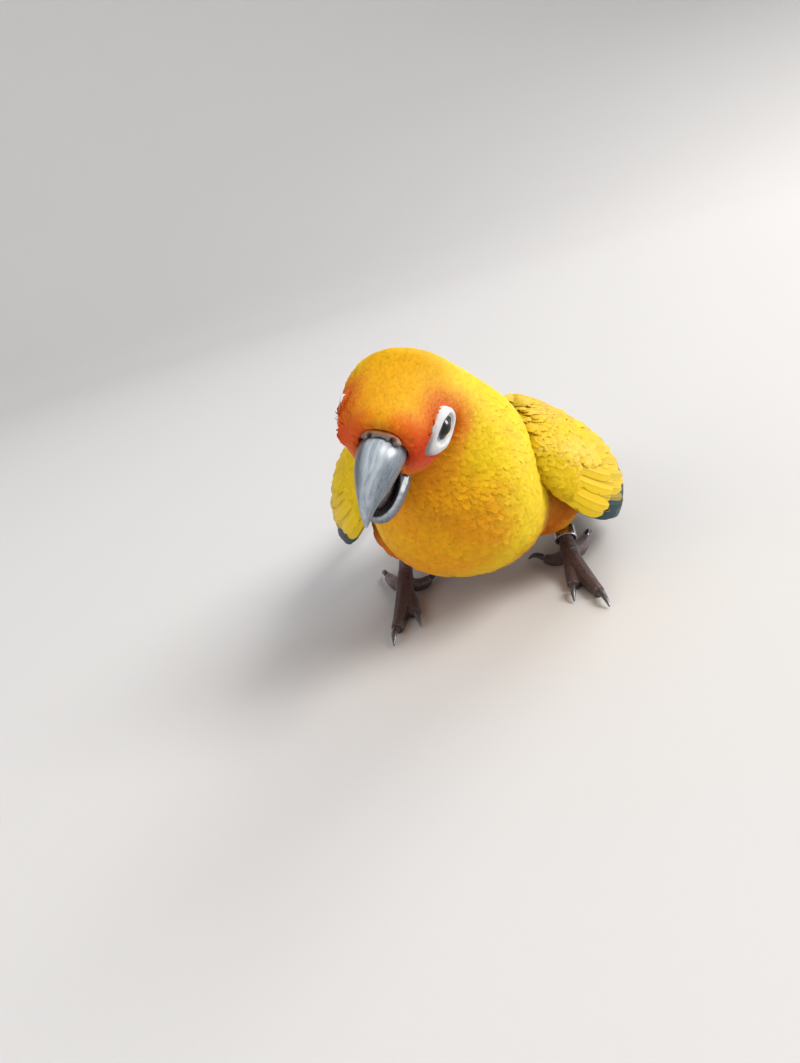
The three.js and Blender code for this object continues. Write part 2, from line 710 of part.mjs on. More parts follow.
// Toes: name, angle from straight ahead on the left and on the right foot (outwards positive), length to
// the claw, thickness.
const TOES = [
  { name: "inner_front", left: -3, right: -17, length: 16, radius: 2.2 },
  { name: "outer_front", left: 15, right: 1, length: 24, radius: 2.4 },
  { name: "outer_back", left: 162, right: 152, length: 19, radius: 2.3 },
  { name: "inner_back", left: -132, right: -142, length: 11, radius: 2.1 },
];

function toeLine(toe, side) {
  const angle = radians(side > 0 ? toe.left : toe.right);
  const ahead = new THREE.Vector3(Math.sin(angle) * side, -Math.cos(angle), 0);
  const root = vec(legPoint(side, "toeRoot"));
  const along = (share, height) => root.clone().addScaledVector(ahead, toe.length * share).setZ(height);
  return { ahead, along };
}

function toeForm(toe, side) {
  const { along } = toeLine(toe, side);
  const r = toe.radius;
  const centres = [along(0, 5.0), along(0.25, 4.2), along(0.5, 2.6), along(0.75, 1.9), along(1, 2.0)];
  return roundTube(centres, [r * 1.25, r * 1.1, r * 1.12, r, r * 0.82], 8);
}

function clawForm(toe, side) {
  const { along } = toeLine(toe, side);
  const reach = 7.5 / toe.length;
  const start = 1 + (GAP + 0.25) / toe.length;
  const centres = [
    along(start, 2.1),
    along(start + 0.3 * reach, 3.0),
    along(start + 0.65 * reach, 2.7),
    along(start + reach, 0.7),
  ];
  return roundTube(centres, [1.35, 1.25, 0.9, 0.35], 7);
}

function floorCut(solid) {
  const box = new THREE.BoxGeometry(400, 500, 40);
  box.translate(0, 60, -20);
  return solid.subtract(solidOf(box));
}

function footForm(side) {
  const heel = vec(legPoint(side, "heel"));
  const root = vec(legPoint(side, "toeRoot"));
  const r = TARSUS_RADIUS;
  const bends = [0, 0.35, 0.7, 1].map((share) => heel.clone().lerp(root, share));
  const shank = roundTube(bends, [r, r, r, r * 1.3], 12);
  return floorCut(joined([shank, ...TOES.map((toe) => toeForm(toe, side))]));
}

// The ring the bird wears above its left foot.
function ringForm(grow = 0) {
  const heel = vec(legPoint(1, "heel"));
  const root = vec(legPoint(1, "toeRoot"));
  const inner = RING_RADIUS - grow;
  const outer = RING_RADIUS + RING_WALL + grow;
  const half = RING_LENGTH / 2 + grow;
  const edge = 0.2;
  const profile = [
    [inner + edge, -half],
    [outer - edge, -half],
    [outer, edge - half],
    [outer, half - edge],
    [outer - edge, half],
    [inner + edge, half],
    [inner, half - edge],
    [inner, edge - half],
    [inner + edge, -half],
  ].map(([x, y]) => new THREE.Vector2(x, y));
  const ring = new THREE.LatheGeometry(profile, 18);
  const along = heel.clone().sub(root).normalize();
  ring.applyQuaternion(new THREE.Quaternion().setFromUnitVectors(new THREE.Vector3(0, 1, 0), along));
  ring.translate(...root.lerp(heel, RING_SHARE));
  return solidOf(ring);
}

// Assembly
const model = new THREE.Group();

function addPiece(name, solid, colour, roughness, metalness = 0) {
  const material = new THREE.MeshStandardMaterial({ color: colour, roughness, metalness });
  const mesh = new THREE.Mesh(geometryOf(solid), material);
  mesh.name = name;
  model.add(mesh);
}

const nostril = (side) => ball([3.3 * side, -17.9, 5.9], [0.75, 0.75, 0.75], billMatrix, [0, 0, 0], 8, 6);
const upperBill = upperBillForm(0);
const lowerBill = lowerBillForm(0).subtract(mouthForm());
const cere = cereForm(0).subtract(upperBillForm(GAP)).subtract(nostril(1)).subtract(nostril(-1));
const tongue = tongueForm();
const head = [
  cereForm(GAP),
  upperBillForm(GAP),
  lowerBillForm(GAP),
  eyeForm(1, GAP),
  eyeForm(-1, GAP),
  eyeSkinCut(1),
  eyeSkinCut(-1),
  mouthForm(),
].reduce((rest, cut) => rest.subtract(cut), headForm());
addPiece("head", head, 0xf2a81d, 0.8);
addPiece("neck", neckForm(), 0xf7c821, 0.8);
addPiece("bill_upper", upperBill, 0x6f7686, 0.35);
addPiece("bill_lower", lowerBill, 0x5d6372, 0.4);
addPiece("cere", cere, 0xb9b4b2, 0.6);
addPiece("tongue", tongue, 0x2a2224, 0.5);
const torso = torsoForm(0);
const torsoGrown = torsoForm(GAP);
addPiece("torso", torso, 0xf3b41c, 0.8);
for (const [side, name] of [
  [1, "left"],
  [-1, "right"],
]) {
  addPiece("eye_" + name, eyeForm(side), 0x181415, 0.1);
  addPiece("eye_skin_" + name, eyeSkinForm(side), 0xd9dbe0, 0.6);
  const leg = thighForm(side).subtract(torsoGrown);
  const thigh = side > 0 ? leg.subtract(ringForm(GAP)) : leg;
  const foot = footForm(side);
  const wing = wingForm(side).subtract(torsoGrown).subtract(thighForm(side, GAP));
  addPiece("wing_" + name, wing, 0xfbe02a, 0.7);
  addPiece("thigh_" + name, thigh, 0xe8882a, 0.8);
  addPiece("foot_" + name, foot.subtract(thighForm(side, GAP)), 0x4b3230, 0.6);
  for (const toe of TOES) {
    const claw = floorCut(clawForm(toe, side));
    addPiece(`claw_${name}_${toe.name}`, claw, 0x241f22, 0.4);
  }
}
addPiece("leg_ring", ringForm(), 0xc9ccd0, 0.25, 1);
const tail = tailForm().subtract(torsoGrown);
addPiece("tail", tail, 0x51702f, 0.6);

// The origin is under the middle of the whole bird, on the ground.
const bounds = new THREE.Box3().setFromObject(model);
const middle = bounds.getCenter(new THREE.Vector3());
model.position.set(-middle.x, -middle.y, -bounds.min.z);

export default model;
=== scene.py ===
# A life-size sun conure as a museum shows it: leaning forward on both feet, head turned and tilted, bill
# open, wings held a little out and the long tail resting behind. Metres, +Z up, the bird faces -Y and its
# left side is +X.
import math

import bmesh
import bpy
import numpy as np
from mathutils import Matrix, Vector
from mathutils.bvhtree import BVHTree


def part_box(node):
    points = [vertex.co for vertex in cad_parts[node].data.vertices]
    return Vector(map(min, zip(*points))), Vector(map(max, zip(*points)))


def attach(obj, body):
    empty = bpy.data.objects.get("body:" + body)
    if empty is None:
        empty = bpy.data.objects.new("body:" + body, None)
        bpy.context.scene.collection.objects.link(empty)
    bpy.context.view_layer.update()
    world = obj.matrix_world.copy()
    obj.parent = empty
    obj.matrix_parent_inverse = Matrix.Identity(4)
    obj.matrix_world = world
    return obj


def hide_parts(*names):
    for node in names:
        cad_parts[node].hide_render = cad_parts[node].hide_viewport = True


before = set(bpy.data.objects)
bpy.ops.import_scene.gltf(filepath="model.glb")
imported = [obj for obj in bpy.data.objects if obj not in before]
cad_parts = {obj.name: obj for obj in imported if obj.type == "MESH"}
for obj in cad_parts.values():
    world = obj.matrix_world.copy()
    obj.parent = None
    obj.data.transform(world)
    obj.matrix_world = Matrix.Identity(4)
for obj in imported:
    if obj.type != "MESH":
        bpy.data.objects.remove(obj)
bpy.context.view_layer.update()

# The camera. It stands about 24 cm ahead of the bird and a little to its left, looks down on it and is
# tilted, as the photograph was taken. The head's own frame carries all that is placed on the face.
MM = 0.001
HEAD_YAW, HEAD_PITCH, HEAD_ROLL = math.radians(-14.7), math.radians(17.8), math.radians(21.5)
EYE_IN_HEAD = Vector((10.9, -5.9, 2.7)) * MM
HEAD_IN_BIRD = Vector((-1.6, -47.7, 72.9)) * MM
CAMERA_IN_BIRD = Vector((34.0, -238.0, 112.5)) * MM
CAMERA_TURN, CAMERA_DOWN, CAMERA_ROLL = math.radians(13.0), math.radians(19.7), math.radians(-16.0)
CAMERA_LENS, SENSOR_WIDTH = 27.09, 36.0  # millimetres

head_turn = (
    Matrix.Rotation(HEAD_YAW, 3, "Z")
    @ Matrix.Rotation(HEAD_PITCH, 3, "X")
    @ Matrix.Rotation(HEAD_ROLL, 3, "Y")
)
eye_low, eye_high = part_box("eye_left")
head_at = (eye_low + eye_high) / 2 - head_turn @ EYE_IN_HEAD
bird_at = head_at - HEAD_IN_BIRD


def new_object(name, data):
    """A new object in the scene."""
    made = bpy.data.objects.new(name, data)
    bpy.context.scene.collection.objects.link(made)
    return made


lens = bpy.data.cameras.new("camera")
lens.sensor_width = SENSOR_WIDTH
lens.lens = CAMERA_LENS
lens.clip_start = 0.01
lens.clip_end = 20.0
camera = new_object("camera", lens)
ahead = Vector((
    -math.sin(CAMERA_TURN) * math.cos(CAMERA_DOWN),
    math.cos(CAMERA_TURN) * math.cos(CAMERA_DOWN),
    -math.sin(CAMERA_DOWN),
))
level_right = ahead.cross(Vector((0, 0, 1))).normalized()
level_up = level_right.cross(ahead)
right = math.cos(CAMERA_ROLL) * level_right + math.sin(CAMERA_ROLL) * level_up
up = math.cos(CAMERA_ROLL) * level_up - math.sin(CAMERA_ROLL) * level_right
camera_axes = Matrix((right, up, -ahead)).transposed().to_4x4()
camera.matrix_world = Matrix.Translation(bird_at + CAMERA_IN_BIRD) @ camera_axes
bpy.context.scene.camera = camera

# The flesh under the coat. One skin takes the place of the head, neck, torso and thighs, so that no seam
# shows, and lies inside them by the depth of the feathers over it.
FLESH = ("head", "neck", "torso", "thigh_left", "thigh_right")
SOCKETS = ("eye_skin_left", "eye_skin_right")
GAP_CLOSER = 0.45 * MM
SKIN_VOXEL = 0.9 * MM
OUTLINE_INSET = 0.3 * MM

HEAD_AXES = np.array(head_turn)
HEAD_ORIGIN = np.array(head_at)
BIRD_ORIGIN = np.array(bird_at)


def to_head(points):
    """Points of the model in the head's frame, in millimetres."""
    return (points - HEAD_ORIGIN) @ HEAD_AXES / MM


def from_head(points):
    return np.asarray(points, float) * MM @ HEAD_AXES.T + HEAD_ORIGIN


def smooth(x, low, high):
    """0 below low, 1 above high and a smooth rise between."""
    share = np.clip((x - low) / (high - low), 0, 1)
    return share * share * (3 - 2 * share)


BODY_ROLL, ROLL_HEIGHT = math.radians(5), 12  # the body leans to its left about a line this high


def rolled(points):
    """Points of the upright bird, in millimetres, in the leaning model, in metres."""
    points = np.asarray(points, float)
    x, y, z = points[..., 0], points[..., 1], points[..., 2] - ROLL_HEIGHT
    angle = BODY_ROLL * (1 - smooth(y, 25, 60))
    placed = (x * np.cos(angle) + z * np.sin(angle), y, ROLL_HEIGHT + z * np.cos(angle) - x * np.sin(angle))
    return np.stack(placed, -1) * MM + BIRD_ORIGIN


def standing(points):
    """Points of the bird's legs, in millimetres, in the model, in metres. The legs don't lean."""
    return np.asarray(points, float) * MM + BIRD_ORIGIN


def between(rows, t):
    """Smooth values between the rows of a table, at stations t."""
    rows = np.asarray(rows, float)
    last = len(rows) - 1
    t = np.clip(np.asarray(t, float), 0, last)
    i = np.minimum(t.astype(int), last - 1)
    f = (t - i)[..., None]
    p, q, r, s = (rows[np.clip(i + k, 0, last)] for k in (-1, 0, 1, 2))
    return 0.5 * (2 * q + (r - p) * f + (2 * p - 5 * q + 4 * r - s) * f**2 + (3 * q - p - 3 * r + s) * f**3)


def unit(vectors):
    return vectors / np.maximum(np.linalg.norm(vectors, axis=-1, keepdims=True), 1e-12)


def pick(piece):
    """Makes a piece the only one selected, and the active one."""
    bpy.ops.object.select_all(action="DESELECT")
    piece.select_set(True)
    bpy.context.view_layer.objects.active = piece


def modified(piece, kind, **settings):
    """Adds a modifier to a piece and applies it."""
    pick(piece)
    added = piece.modifiers.new(kind.lower(), kind)
    for key, value in settings.items():
        setattr(added, key, value)
    bpy.ops.object.modifier_apply(modifier=added.name)


def copy_of(nodes, name):
    """A new piece with the shapes of some of the solids, their doubles merged."""
    shape = bmesh.new()
    for node in nodes:
        shape.from_mesh(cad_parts[node].data)
    bmesh.ops.remove_doubles(shape, verts=shape.verts, dist=2e-6)
    mesh = bpy.data.meshes.new(name)
    shape.to_mesh(mesh)
    shape.free()
    return new_object(name, mesh)


def points_of(piece):
    """A piece's points and their normals."""
    mesh = piece.data
    points = np.empty(3 * len(mesh.vertices))
    normals = np.empty(3 * len(mesh.vertices))
    mesh.vertices.foreach_get("co", points)
    mesh.vertices.foreach_get("normal", normals)
    return points.reshape(-1, 3), normals.reshape(-1, 3)


def set_points(piece, points):
    piece.data.vertices.foreach_set("co", points.ravel())
    piece.data.update()


def smooth_faces(piece, sharp=None):
    """Shades a piece smoothly, all over or up to edges as sharp as an angle in degrees."""
    pick(piece)
    if sharp is None:
        bpy.ops.object.shade_smooth()
    else:
        bpy.ops.object.shade_smooth_by_angle(angle=math.radians(sharp))


def tree_of(points, faces):
    """Points and faces as a tree that finds the place nearest to a point, or on a ray."""
    return BVHTree.FromPolygons([tuple(p) for p in points], faces)


# The line through the middle of the bird, from the root of the bill to the root of the tail.
HEAD_LINE = ((0, -15.5, -2.0), (0, -8.3, -1.5), (0, 2.8, -3.0))
BODY_LINE = (
    (0, -34.5, 57.0),
    (0, -21.5, 46.5),
    (0, -2.0, 36.0),
    (0, 20.0, 30.7),
    (0, 39.5, 26.5),
    (0, 58.0, 22.5),
)
LINE_STEPS = 90
line_rows = np.concatenate((from_head(HEAD_LINE), rolled(BODY_LINE)))
middle_line = between(line_rows, np.linspace(0, len(line_rows) - 1, LINE_STEPS))
line_ahead = unit(np.gradient(middle_line, axis=0))
LEGS = {  # top of the thigh and its end at the heel
    1: standing(((23, 2, 32), (29, 12.6, 15.2))),
    -1: standing(((-15, 2, 32), (-22.3, 12, 14.6))),
}
THIGH_RADIUS = 13 * MM


def along_line(points):
    """How far along the middle line points are, 0 at the bill and 1 at the tail, and each step's weight."""
    distance = np.linalg.norm(points[:, None] - middle_line[None], axis=2)
    nearest = distance.min(axis=1, keepdims=True)
    weight = np.exp(-(((distance - nearest) / (4 * MM)) ** 2))
    weight /= weight.sum(axis=1, keepdims=True)
    return weight @ np.linspace(0, 1, LINE_STEPS), weight


def on_leg(points, side):
    """How much points belong to a thigh, from 0 to 1, and how far down it they are."""
    top, end = LEGS[side]
    axis = end - top
    share = (points - top) @ axis / (axis @ axis)
    off = np.linalg.norm(points - top - np.clip(share, 0, 1)[:, None] * axis, axis=1)
    return (1 - smooth(off, THIGH_RADIUS, 1.45 * THIGH_RADIUS)) * smooth(share, 0.35, 0.6), share


def along_surface(way, normals):
    """Directions laid level with a surface."""
    return unit(way - normals * np.sum(way * normals, axis=1, keepdims=True))


def lie_of_coat(points, normals):
    """The way the feathers point: away from the bill, along the body, and down the thighs."""
    _, weight = along_line(points)
    way = weight @ line_ahead
    for side, (top, end) in LEGS.items():
        share = on_leg(points, side)[0][:, None]
        way = way * (1 - share) + unit(end - top) * share
    return along_surface(way, normals)


# Depth of the coat over the skin and length of a feather, in millimetres, by the place along the line.
LINE_MARKS = (0.0, 0.1, 0.25, 0.38, 0.5, 0.7, 0.9, 1.0)
COAT_DEPTHS = (0.5, 0.9, 1.4, 2.2, 2.7, 2.7, 2.2, 1.8)
FEATHER_LENGTHS = (1.7, 2.7, 4.2, 6.8, 8.6, 9.6, 11.0, 11.5)


def near(points, centre, radii, soft=0.35):
    """1 inside an oval, 0 well outside it, for points in the same frame as its centre."""
    away = np.linalg.norm((points - np.array(centre)) / np.array(radii), axis=1)
    return 1 - smooth(away, 1 - soft, 1 + soft)


PATCH_CENTRE = np.array((-7.2, 2.0))  # of the bare skin round the eye, in the head's side plane
PATCH_REACH = np.array((5.1, 3.7))
RIGHT_PATCH = 0.84  # the right one is a little smaller, for the photograph hides it
PATCH_TILT = math.radians(30)
PATCH_FROM = 6  # millimetres out from the middle of the head, and no patch reaches further in
FAR_AWAY = 9.0  # a place well outside the patch
PATCH_DEPTH, PATCH_SINK = 1.9, 2.2  # of the skin under a patch, along its normals and towards the middle
MOUTH_AT = (0, -14.6, -11.2)  # the middle of the open mouth
MOUTH_REACH = (6.5, 10, 6)


def patch_place(face):
    """Points of the face in the bare patch's own plane: its edge is 1 away from the middle."""
    y, z = face[:, 1] - PATCH_CENTRE[0], face[:, 2] - PATCH_CENTRE[1]
    c, s = math.cos(PATCH_TILT), math.sin(PATCH_TILT)
    place = np.column_stack((y * c + z * s, z * c - y * s)) / PATCH_REACH
    place = place / np.where(face[:, :1] < 0, RIGHT_PATCH, 1.0)
    return np.where(abs(face[:, :1]) > PATCH_FROM, place, FAR_AWAY)


def bareness(face):
    """How far points of the face are in the bare patch: 1 inside it, 0 outside, soft between."""
    return 1 - smooth(np.linalg.norm(patch_place(face), axis=1), 0.86, 1.1)


def coat_depth(points):
    """How deep the coat is at points, in metres: thin by the bill and on the shins, none in the mouth."""
    depth = np.interp(along_line(points)[0], LINE_MARKS, COAT_DEPTHS)
    face = to_head(points)
    bare = bareness(face)
    mouth = near(face, (0, -14, -11), MOUTH_REACH, 0.15)
    by_the_bill = 0.3 + 0.7 * smooth(face[:, 1], -16, -8)
    depth = depth * (1 - mouth) * by_the_bill * (1 - bare) + PATCH_DEPTH * bare
    for side in LEGS:
        leg, share = on_leg(points, side)
        depth = depth * (1 - leg) + leg * np.interp(share, (0.3, 0.8, 1.0), (2.6, 2.0, 0.9))
    return depth * MM


skin = copy_of(FLESH + SOCKETS, "skin")
modified(skin, "DISPLACE", strength=GAP_CLOSER, mid_level=0)
modified(skin, "REMESH", mode="VOXEL", voxel_size=SKIN_VOXEL)
modified(skin, "SMOOTH", factor=0.5, iterations=14)
outer_points, outer_normals = points_of(skin)
outer_points = outer_points - outer_normals * OUTLINE_INSET
set_points(skin, outer_points)
body_faces = [tuple(face.vertices) for face in skin.data.polygons]
outline = tree_of(outer_points, body_faces)
outer_face = to_head(outer_points)
sunk = bareness(outer_face)[:, None] * MM
inwards = -np.sign(outer_face[:, :1]) * HEAD_AXES[:, 0]
skin_depth = coat_depth(outer_points)[:, None] - PATCH_DEPTH * sunk
set_points(skin, outer_points - outer_normals * skin_depth + inwards * PATCH_SINK * sunk)
modified(skin, "SMOOTH", factor=0.5, iterations=3)


# The markings: gold crown, red-orange face, lemon yellow nape, back and shoulders, gold to orange breast,
# ochre belly, partly painted shade of the underside, russet flanks that are painted shade under the wings,
# and thighs of orange and gold, the right one painted redder as shade on the bird's shaded side. The skin
# and the body's feathers take their colour from here.
def paint(code):
    """A colour written as six hexadecimal digits, as linear red, green and blue."""
    values = np.array([int(code[i : i + 2], 16) for i in (0, 2, 4)]) / 255
    return np.where(values <= 0.04045, values / 12.92, ((values + 0.055) / 1.055) ** 2.4)


GOLD = paint("f6b90a")
LEMON = paint("fde00c")
ORANGE = paint("f3930e")
RED_ORANGE = paint("e8480c")
RUSSET_WING_SHADE = paint("c23a08")
OCHRE = paint("e79a10")
PINK = paint("e8604a")
MOUTH_BLACK = paint("1c1216")


def patches(points, size, seed):
    """Soft random patches over the coat, from 0 to 1."""
    random = np.random.default_rng(seed)
    value = np.zeros(len(points))
    for _ in range(7):
        wave = random.normal(size=3) / (size * MM)
        value += np.sin(points @ wave + random.uniform(0, 6.28))
    return smooth(value / 2.6, -0.8, 0.8)


def all_over(colour, points):
    """One colour for each of some points."""
    return np.tile(colour, (len(points), 1))


def blended(colour, other, share):
    return colour * (1 - share[:, None]) + other * share[:, None]


def marking(points):
    """The coat's colour at points of the model, as linear red, green and blue."""
    along, _ = along_line(points)
    face = to_head(points)
    face[:, 0] = abs(face[:, 0])
    bird = (points - BIRD_ORIGIN) / MM
    colour = all_over(GOLD, points)
    colour = blended(colour, ORANGE, 0.4 * patches(points, 5, 3) * smooth(along, 0.0, 0.1))
    crown = near(face, (0, 2, 12), (14, 16, 12), 0.5)
    colour = blended(colour, OCHRE, 0.45 * crown * patches(points, 6, 21))
    nape = smooth(along, 0.16, 0.30) * smooth(face[:, 2] + 0.6 * face[:, 1], -6, 6)
    cheek_side = smooth(face[:, 1], -2, 7) * smooth(face[:, 0], 6, 13)
    colour = blended(colour, LEMON, np.maximum(nape, cheek_side) * 0.92)
    back = smooth(along, 0.3, 0.42) * smooth(bird[:, 2] - 0.25 * abs(bird[:, 0]), 40, 54)
    colour = blended(colour, LEMON, back * 0.9)
    throat = near(face, (0, -4, -17), (15, 13, 12), 0.5)
    colour = blended(colour, ORANGE, 0.65 * throat)
    breast = smooth(along, 0.32, 0.45) * (1 - smooth(bird[:, 2], 44, 58)) * (1 - smooth(bird[:, 1], -5, 20))
    colour = blended(colour, ORANGE, 0.35 * breast * patches(points, 7, 5))
    sides = smooth(abs(bird[:, 0]), 14, 26) * smooth(bird[:, 2], 26, 42) * smooth(along, 0.3, 0.4)
    colour = blended(colour, LEMON, 0.75 * sides * (1 - smooth(bird[:, 1], -18, -4)))
    belly = smooth(along, 0.5, 0.62) * (1 - smooth(bird[:, 2], 20, 36))
    # Ochre on the lower body: partly the belly's own deeper tone, partly painted shade of the underside.
    colour = blended(colour, OCHRE, 0.6 * belly)
    colour = blended(colour, RED_ORANGE, 0.35 * belly * patches(points, 6, 8))
    # Painted shade: the flanks under the wings, orange on the bird, are darkened to russet as the wings
    # would shade them.
    shade_under_wings = near(bird, (0, 8, 30), (99, 24, 16), 0.4) * smooth(abs(bird[:, 0]), 17, 25)
    colour = blended(colour, RUSSET_WING_SHADE, 0.6 * shade_under_wings)
    red = near(face, (12, -8, 0), (8, 11, 9.5), 0.4)
    red = np.maximum(red, near(face, (6, -15.5, 1), (7, 4.5, 9), 0.45))
    red = np.maximum(red, 0.9 * near(face, (12, -1, 0), (7, 7, 6), 0.6))
    red = np.maximum(red, 0.8 * near(face, (8, -10, -9), (7, 6, 6), 0.5))
    colour = blended(colour, RED_ORANGE, red * (0.75 + 0.25 * patches(points, 4, 9)))
    pink = near(face, (10, -12.5, -4.5), (5, 5, 2.6), 0.5)
    colour = blended(colour, PINK, 0.6 * pink)
    for leg_side in LEGS:
        leg, share = on_leg(points, leg_side)
        # The right thigh, on the bird's shaded side, is painted redder and less gold than the left: painted
        # shade.
        colour = blended(colour, RED_ORANGE if leg_side < 0 else ORANGE, 0.85 * leg)
        colour = blended(colour, GOLD, (0.5 + 0.2 * leg_side) * leg * patches(points, 3, 12))
    mouth = near(face, (0, -14, -11.2), (6.2, 9.6, 5.4), 0.08)
    colour = blended(colour, MOUTH_BLACK, mouth)
    return colour


class Shade:
    """A value in a material. Arithmetic on it adds the nodes that work it out."""

    def __init__(self, finish, socket):
        self.finish = finish
        self.socket = socket

    def sum_of(self, operation, first, second):
        return self.finish.node("Math", {"operation": operation}, {0: first, 1: second})

    def __add__(self, other):
        return self.sum_of("ADD", self, other)

    def __radd__(self, other):
        return self.sum_of("ADD", other, self)

    def __sub__(self, other):
        return self.sum_of("SUBTRACT", self, other)

    def __rsub__(self, other):
        return self.sum_of("SUBTRACT", other, self)

    def __mul__(self, other):
        return self.sum_of("MULTIPLY", self, other)

    def __rmul__(self, other):
        return self.sum_of("MULTIPLY", other, self)


class Finish:
    """A piece's material, with its constants set on the shader's own sockets."""

    def __init__(self, name, **constants):
        self.material = bpy.data.materials.new(name)
        self.material.use_nodes = True
        self.tree = self.material.node_tree
        self.surface = self.tree.nodes["Principled BSDF"]
        for key, value in constants.items():
            self.surface.inputs[key.replace("_", " ")].default_value = value

    def put(self, socket, value):
        if isinstance(value, Shade):
            self.tree.links.new(value.socket, socket)
        else:
            socket.default_value = value

    def node(self, kind, settings=None, values=None, output=0):
        """Adds a node from its type, its settings, its sockets' values or links, and the output used."""
        added = self.tree.nodes.new("ShaderNode" + kind)
        for key, value in (settings or {}).items():
            setattr(added, key, value)
        for key, value in (values or {}).items():
            self.put(added.inputs[key], value)
        return Shade(self, added.outputs[output])

    def feed(self, **values):
        for key, value in values.items():
            self.put(self.surface.inputs[key.replace("_", " ")], value)

    def mixed(self, share, first, second, way="MIX"):
        """One colour laid over another."""
        settings = {"data_type": "RGBA", "blend_type": way}
        colours = {6: first, 7: second}
        for key, value in colours.items():
            if not isinstance(value, Shade):
                colours[key] = (*value[:3], 1.0)
        return self.node("Mix", settings, {0: share, **colours}, output=2)

    def noise(self, place, scale, detail=3.0, roughness=0.5):
        values = {"Vector": place, "Scale": scale, "Detail": detail, "Roughness": roughness}
        return self.node("TexNoise", {}, values)

    def bump(self, height, strength, distance):
        """Height in metres, as a dent or rise of the surface."""
        values = {"Height": height, "Strength": strength, "Distance": distance}
        self.feed(Normal=self.node("Bump", {}, values))

    def here(self):
        return self.node("TexCoord", output="Object")

    def stored_colour(self):
        """The colour that is stored at each point of the piece."""
        return self.node("Attribute", {"attribute_name": "marking"}, output="Color")


def dress(piece, finish, slot, *nodes):
    """Gives a piece its material and its body, and hides the solids it stands for. The slot is not used."""
    piece.data.materials.clear()
    piece.data.materials.append(finish.material)
    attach(piece, "root")
    if nodes:
        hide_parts(*nodes)


def colour_points(piece, colours):
    """Stores a colour at each point of a piece."""
    stored = piece.data.color_attributes.new("marking", "FLOAT_COLOR", "POINT")
    stored.data.foreach_set("color", np.column_stack((colours, np.ones(len(colours)))).ravel())


SKIN_SHADE = 0.85  # the skin is darker than the feathers that part over it
SKIN_GRAIN = 900.0
SKIN_RELIEF = 0.2 * MM
colour_points(skin, marking(outer_points) * SKIN_SHADE)
smooth_faces(skin)
skin_finish = Finish("bird_skin", Roughness=0.7, Specular_IOR_Level=0.3)
skin_colour = skin_finish.stored_colour()
skin_grain = skin_finish.noise(skin_finish.here(), SKIN_GRAIN)
skin_finish.feed(Base_Color=skin_finish.mixed(skin_grain, skin_colour, (0.85, 0.7, 0.5), "MULTIPLY"))
skin_finish.bump(skin_grain, 0.5, SKIN_RELIEF)
dress(skin, skin_finish, "plumage_body", *FLESH)

# The body feathers. Each is a thin closed vane with a frayed tip, rooted in the skin and following it for
# its length, tip outermost, so that they overlap like tiles. They are smallest on the face.
TRAIL_STEPS = 3
HALF_WIDTH_SHARE = 0.25
SPACING_SHARE = 0.138  # roots stand this share of a feather's length apart, on long feathers
SHORT_SPACING, SHORT_SPACING_SHARE = 0.186, 0.119  # and on short ones so many millimetres and this share
SPACING_STEP = 0.12
VANE_TWIST, VANE_ROLL = 0.12, 0.07  # how far single feathers stray from the lie of the coat, in radians
SHARP_TUFT, SHARP_VANE = 55, 40  # degrees between faces
BAKE_PATCH = (0.0015, 0.003)  # of the OFBake map for one feather, across and along
BARBS_ALONG, BARBS_ACROSS, BARB_SLANT = 9.0, 0.8, 0.7
BARB_RELIEF = 0.06 * MM


def tuft_shape(teeth):
    """A small feather's points (along, across, up) and its triangles, with a ragged round tip."""
    rim = [(0.0, -0.3), (0.25, -0.78)]
    steps = 2 * teeth - 2
    for k in range(steps + 1):
        turn = math.radians(-84 + 168 * k / steps)
        reach = 1.0 if k % 2 == 0 else 0.88
        rim.append((0.5 + 0.5 * reach * math.cos(turn), reach * math.sin(turn)))
    rim += [(0.25, 0.78), (0.0, 0.3)]
    count = len(rim)
    points = [(u, v, 0.0) for u, v in rim]
    points += [(0.0, 0.0, 0.0), (0.3, 0.0, 0.5), (0.6, 0.0, 0.5), (0.3, 0.0, -0.5), (0.6, 0.0, -0.5)]

    def face_of(root, middle, end):
        faces = [(0, 1, middle), (0, middle, root), (1, 2, end), (1, end, middle)]
        faces += [(k, k + 1, end) for k in range(2, count - 3)]
        faces += [(count - 3, count - 2, middle), (count - 3, middle, end)]
        return faces + [(count - 2, count - 1, middle), (count - 1, root, middle)]

    above = face_of(count, count + 1, count + 2)
    below = [(a, c, b) for a, b, c in face_of(count, count + 3, count + 4)]
    return np.array(points), np.array(above + below)


def mesh_of(name, points, faces):
    """A piece from points and faces that all have as many corners."""
    faces = np.ascontiguousarray(faces, np.int32)
    mesh = bpy.data.meshes.new(name)
    mesh.vertices.add(len(points))
    mesh.vertices.foreach_set("co", np.ascontiguousarray(points, np.float32).ravel())
    mesh.loops.add(faces.size)
    mesh.loops.foreach_set("vertex_index", faces.ravel())
    mesh.polygons.add(len(faces))
    mesh.polygons.foreach_set("loop_start", np.arange(0, faces.size, faces.shape[1], dtype=np.int32))
    mesh.update(calc_edges=True)
    return new_object(name, mesh)


def outward(points, faces):
    """Faces turned so that they point out of their closed shape."""
    a, b, c = (points[faces[:, k]] - points[0] for k in range(3))
    volume = np.einsum("ij,ij->", a, np.cross(b, c))
    return faces if volume > 0 else faces[:, ::-1]


def map_points(piece, name, places):
    """Gives a piece a UV map from a place for each of its points."""
    corners = np.empty(len(piece.data.loops), np.int32)
    piece.data.loops.foreach_get("vertex_index", corners)
    layer = piece.data.uv_layers.new(name=name)
    layer.uv.foreach_set("vector", np.ascontiguousarray(places[corners], np.float32).ravel())


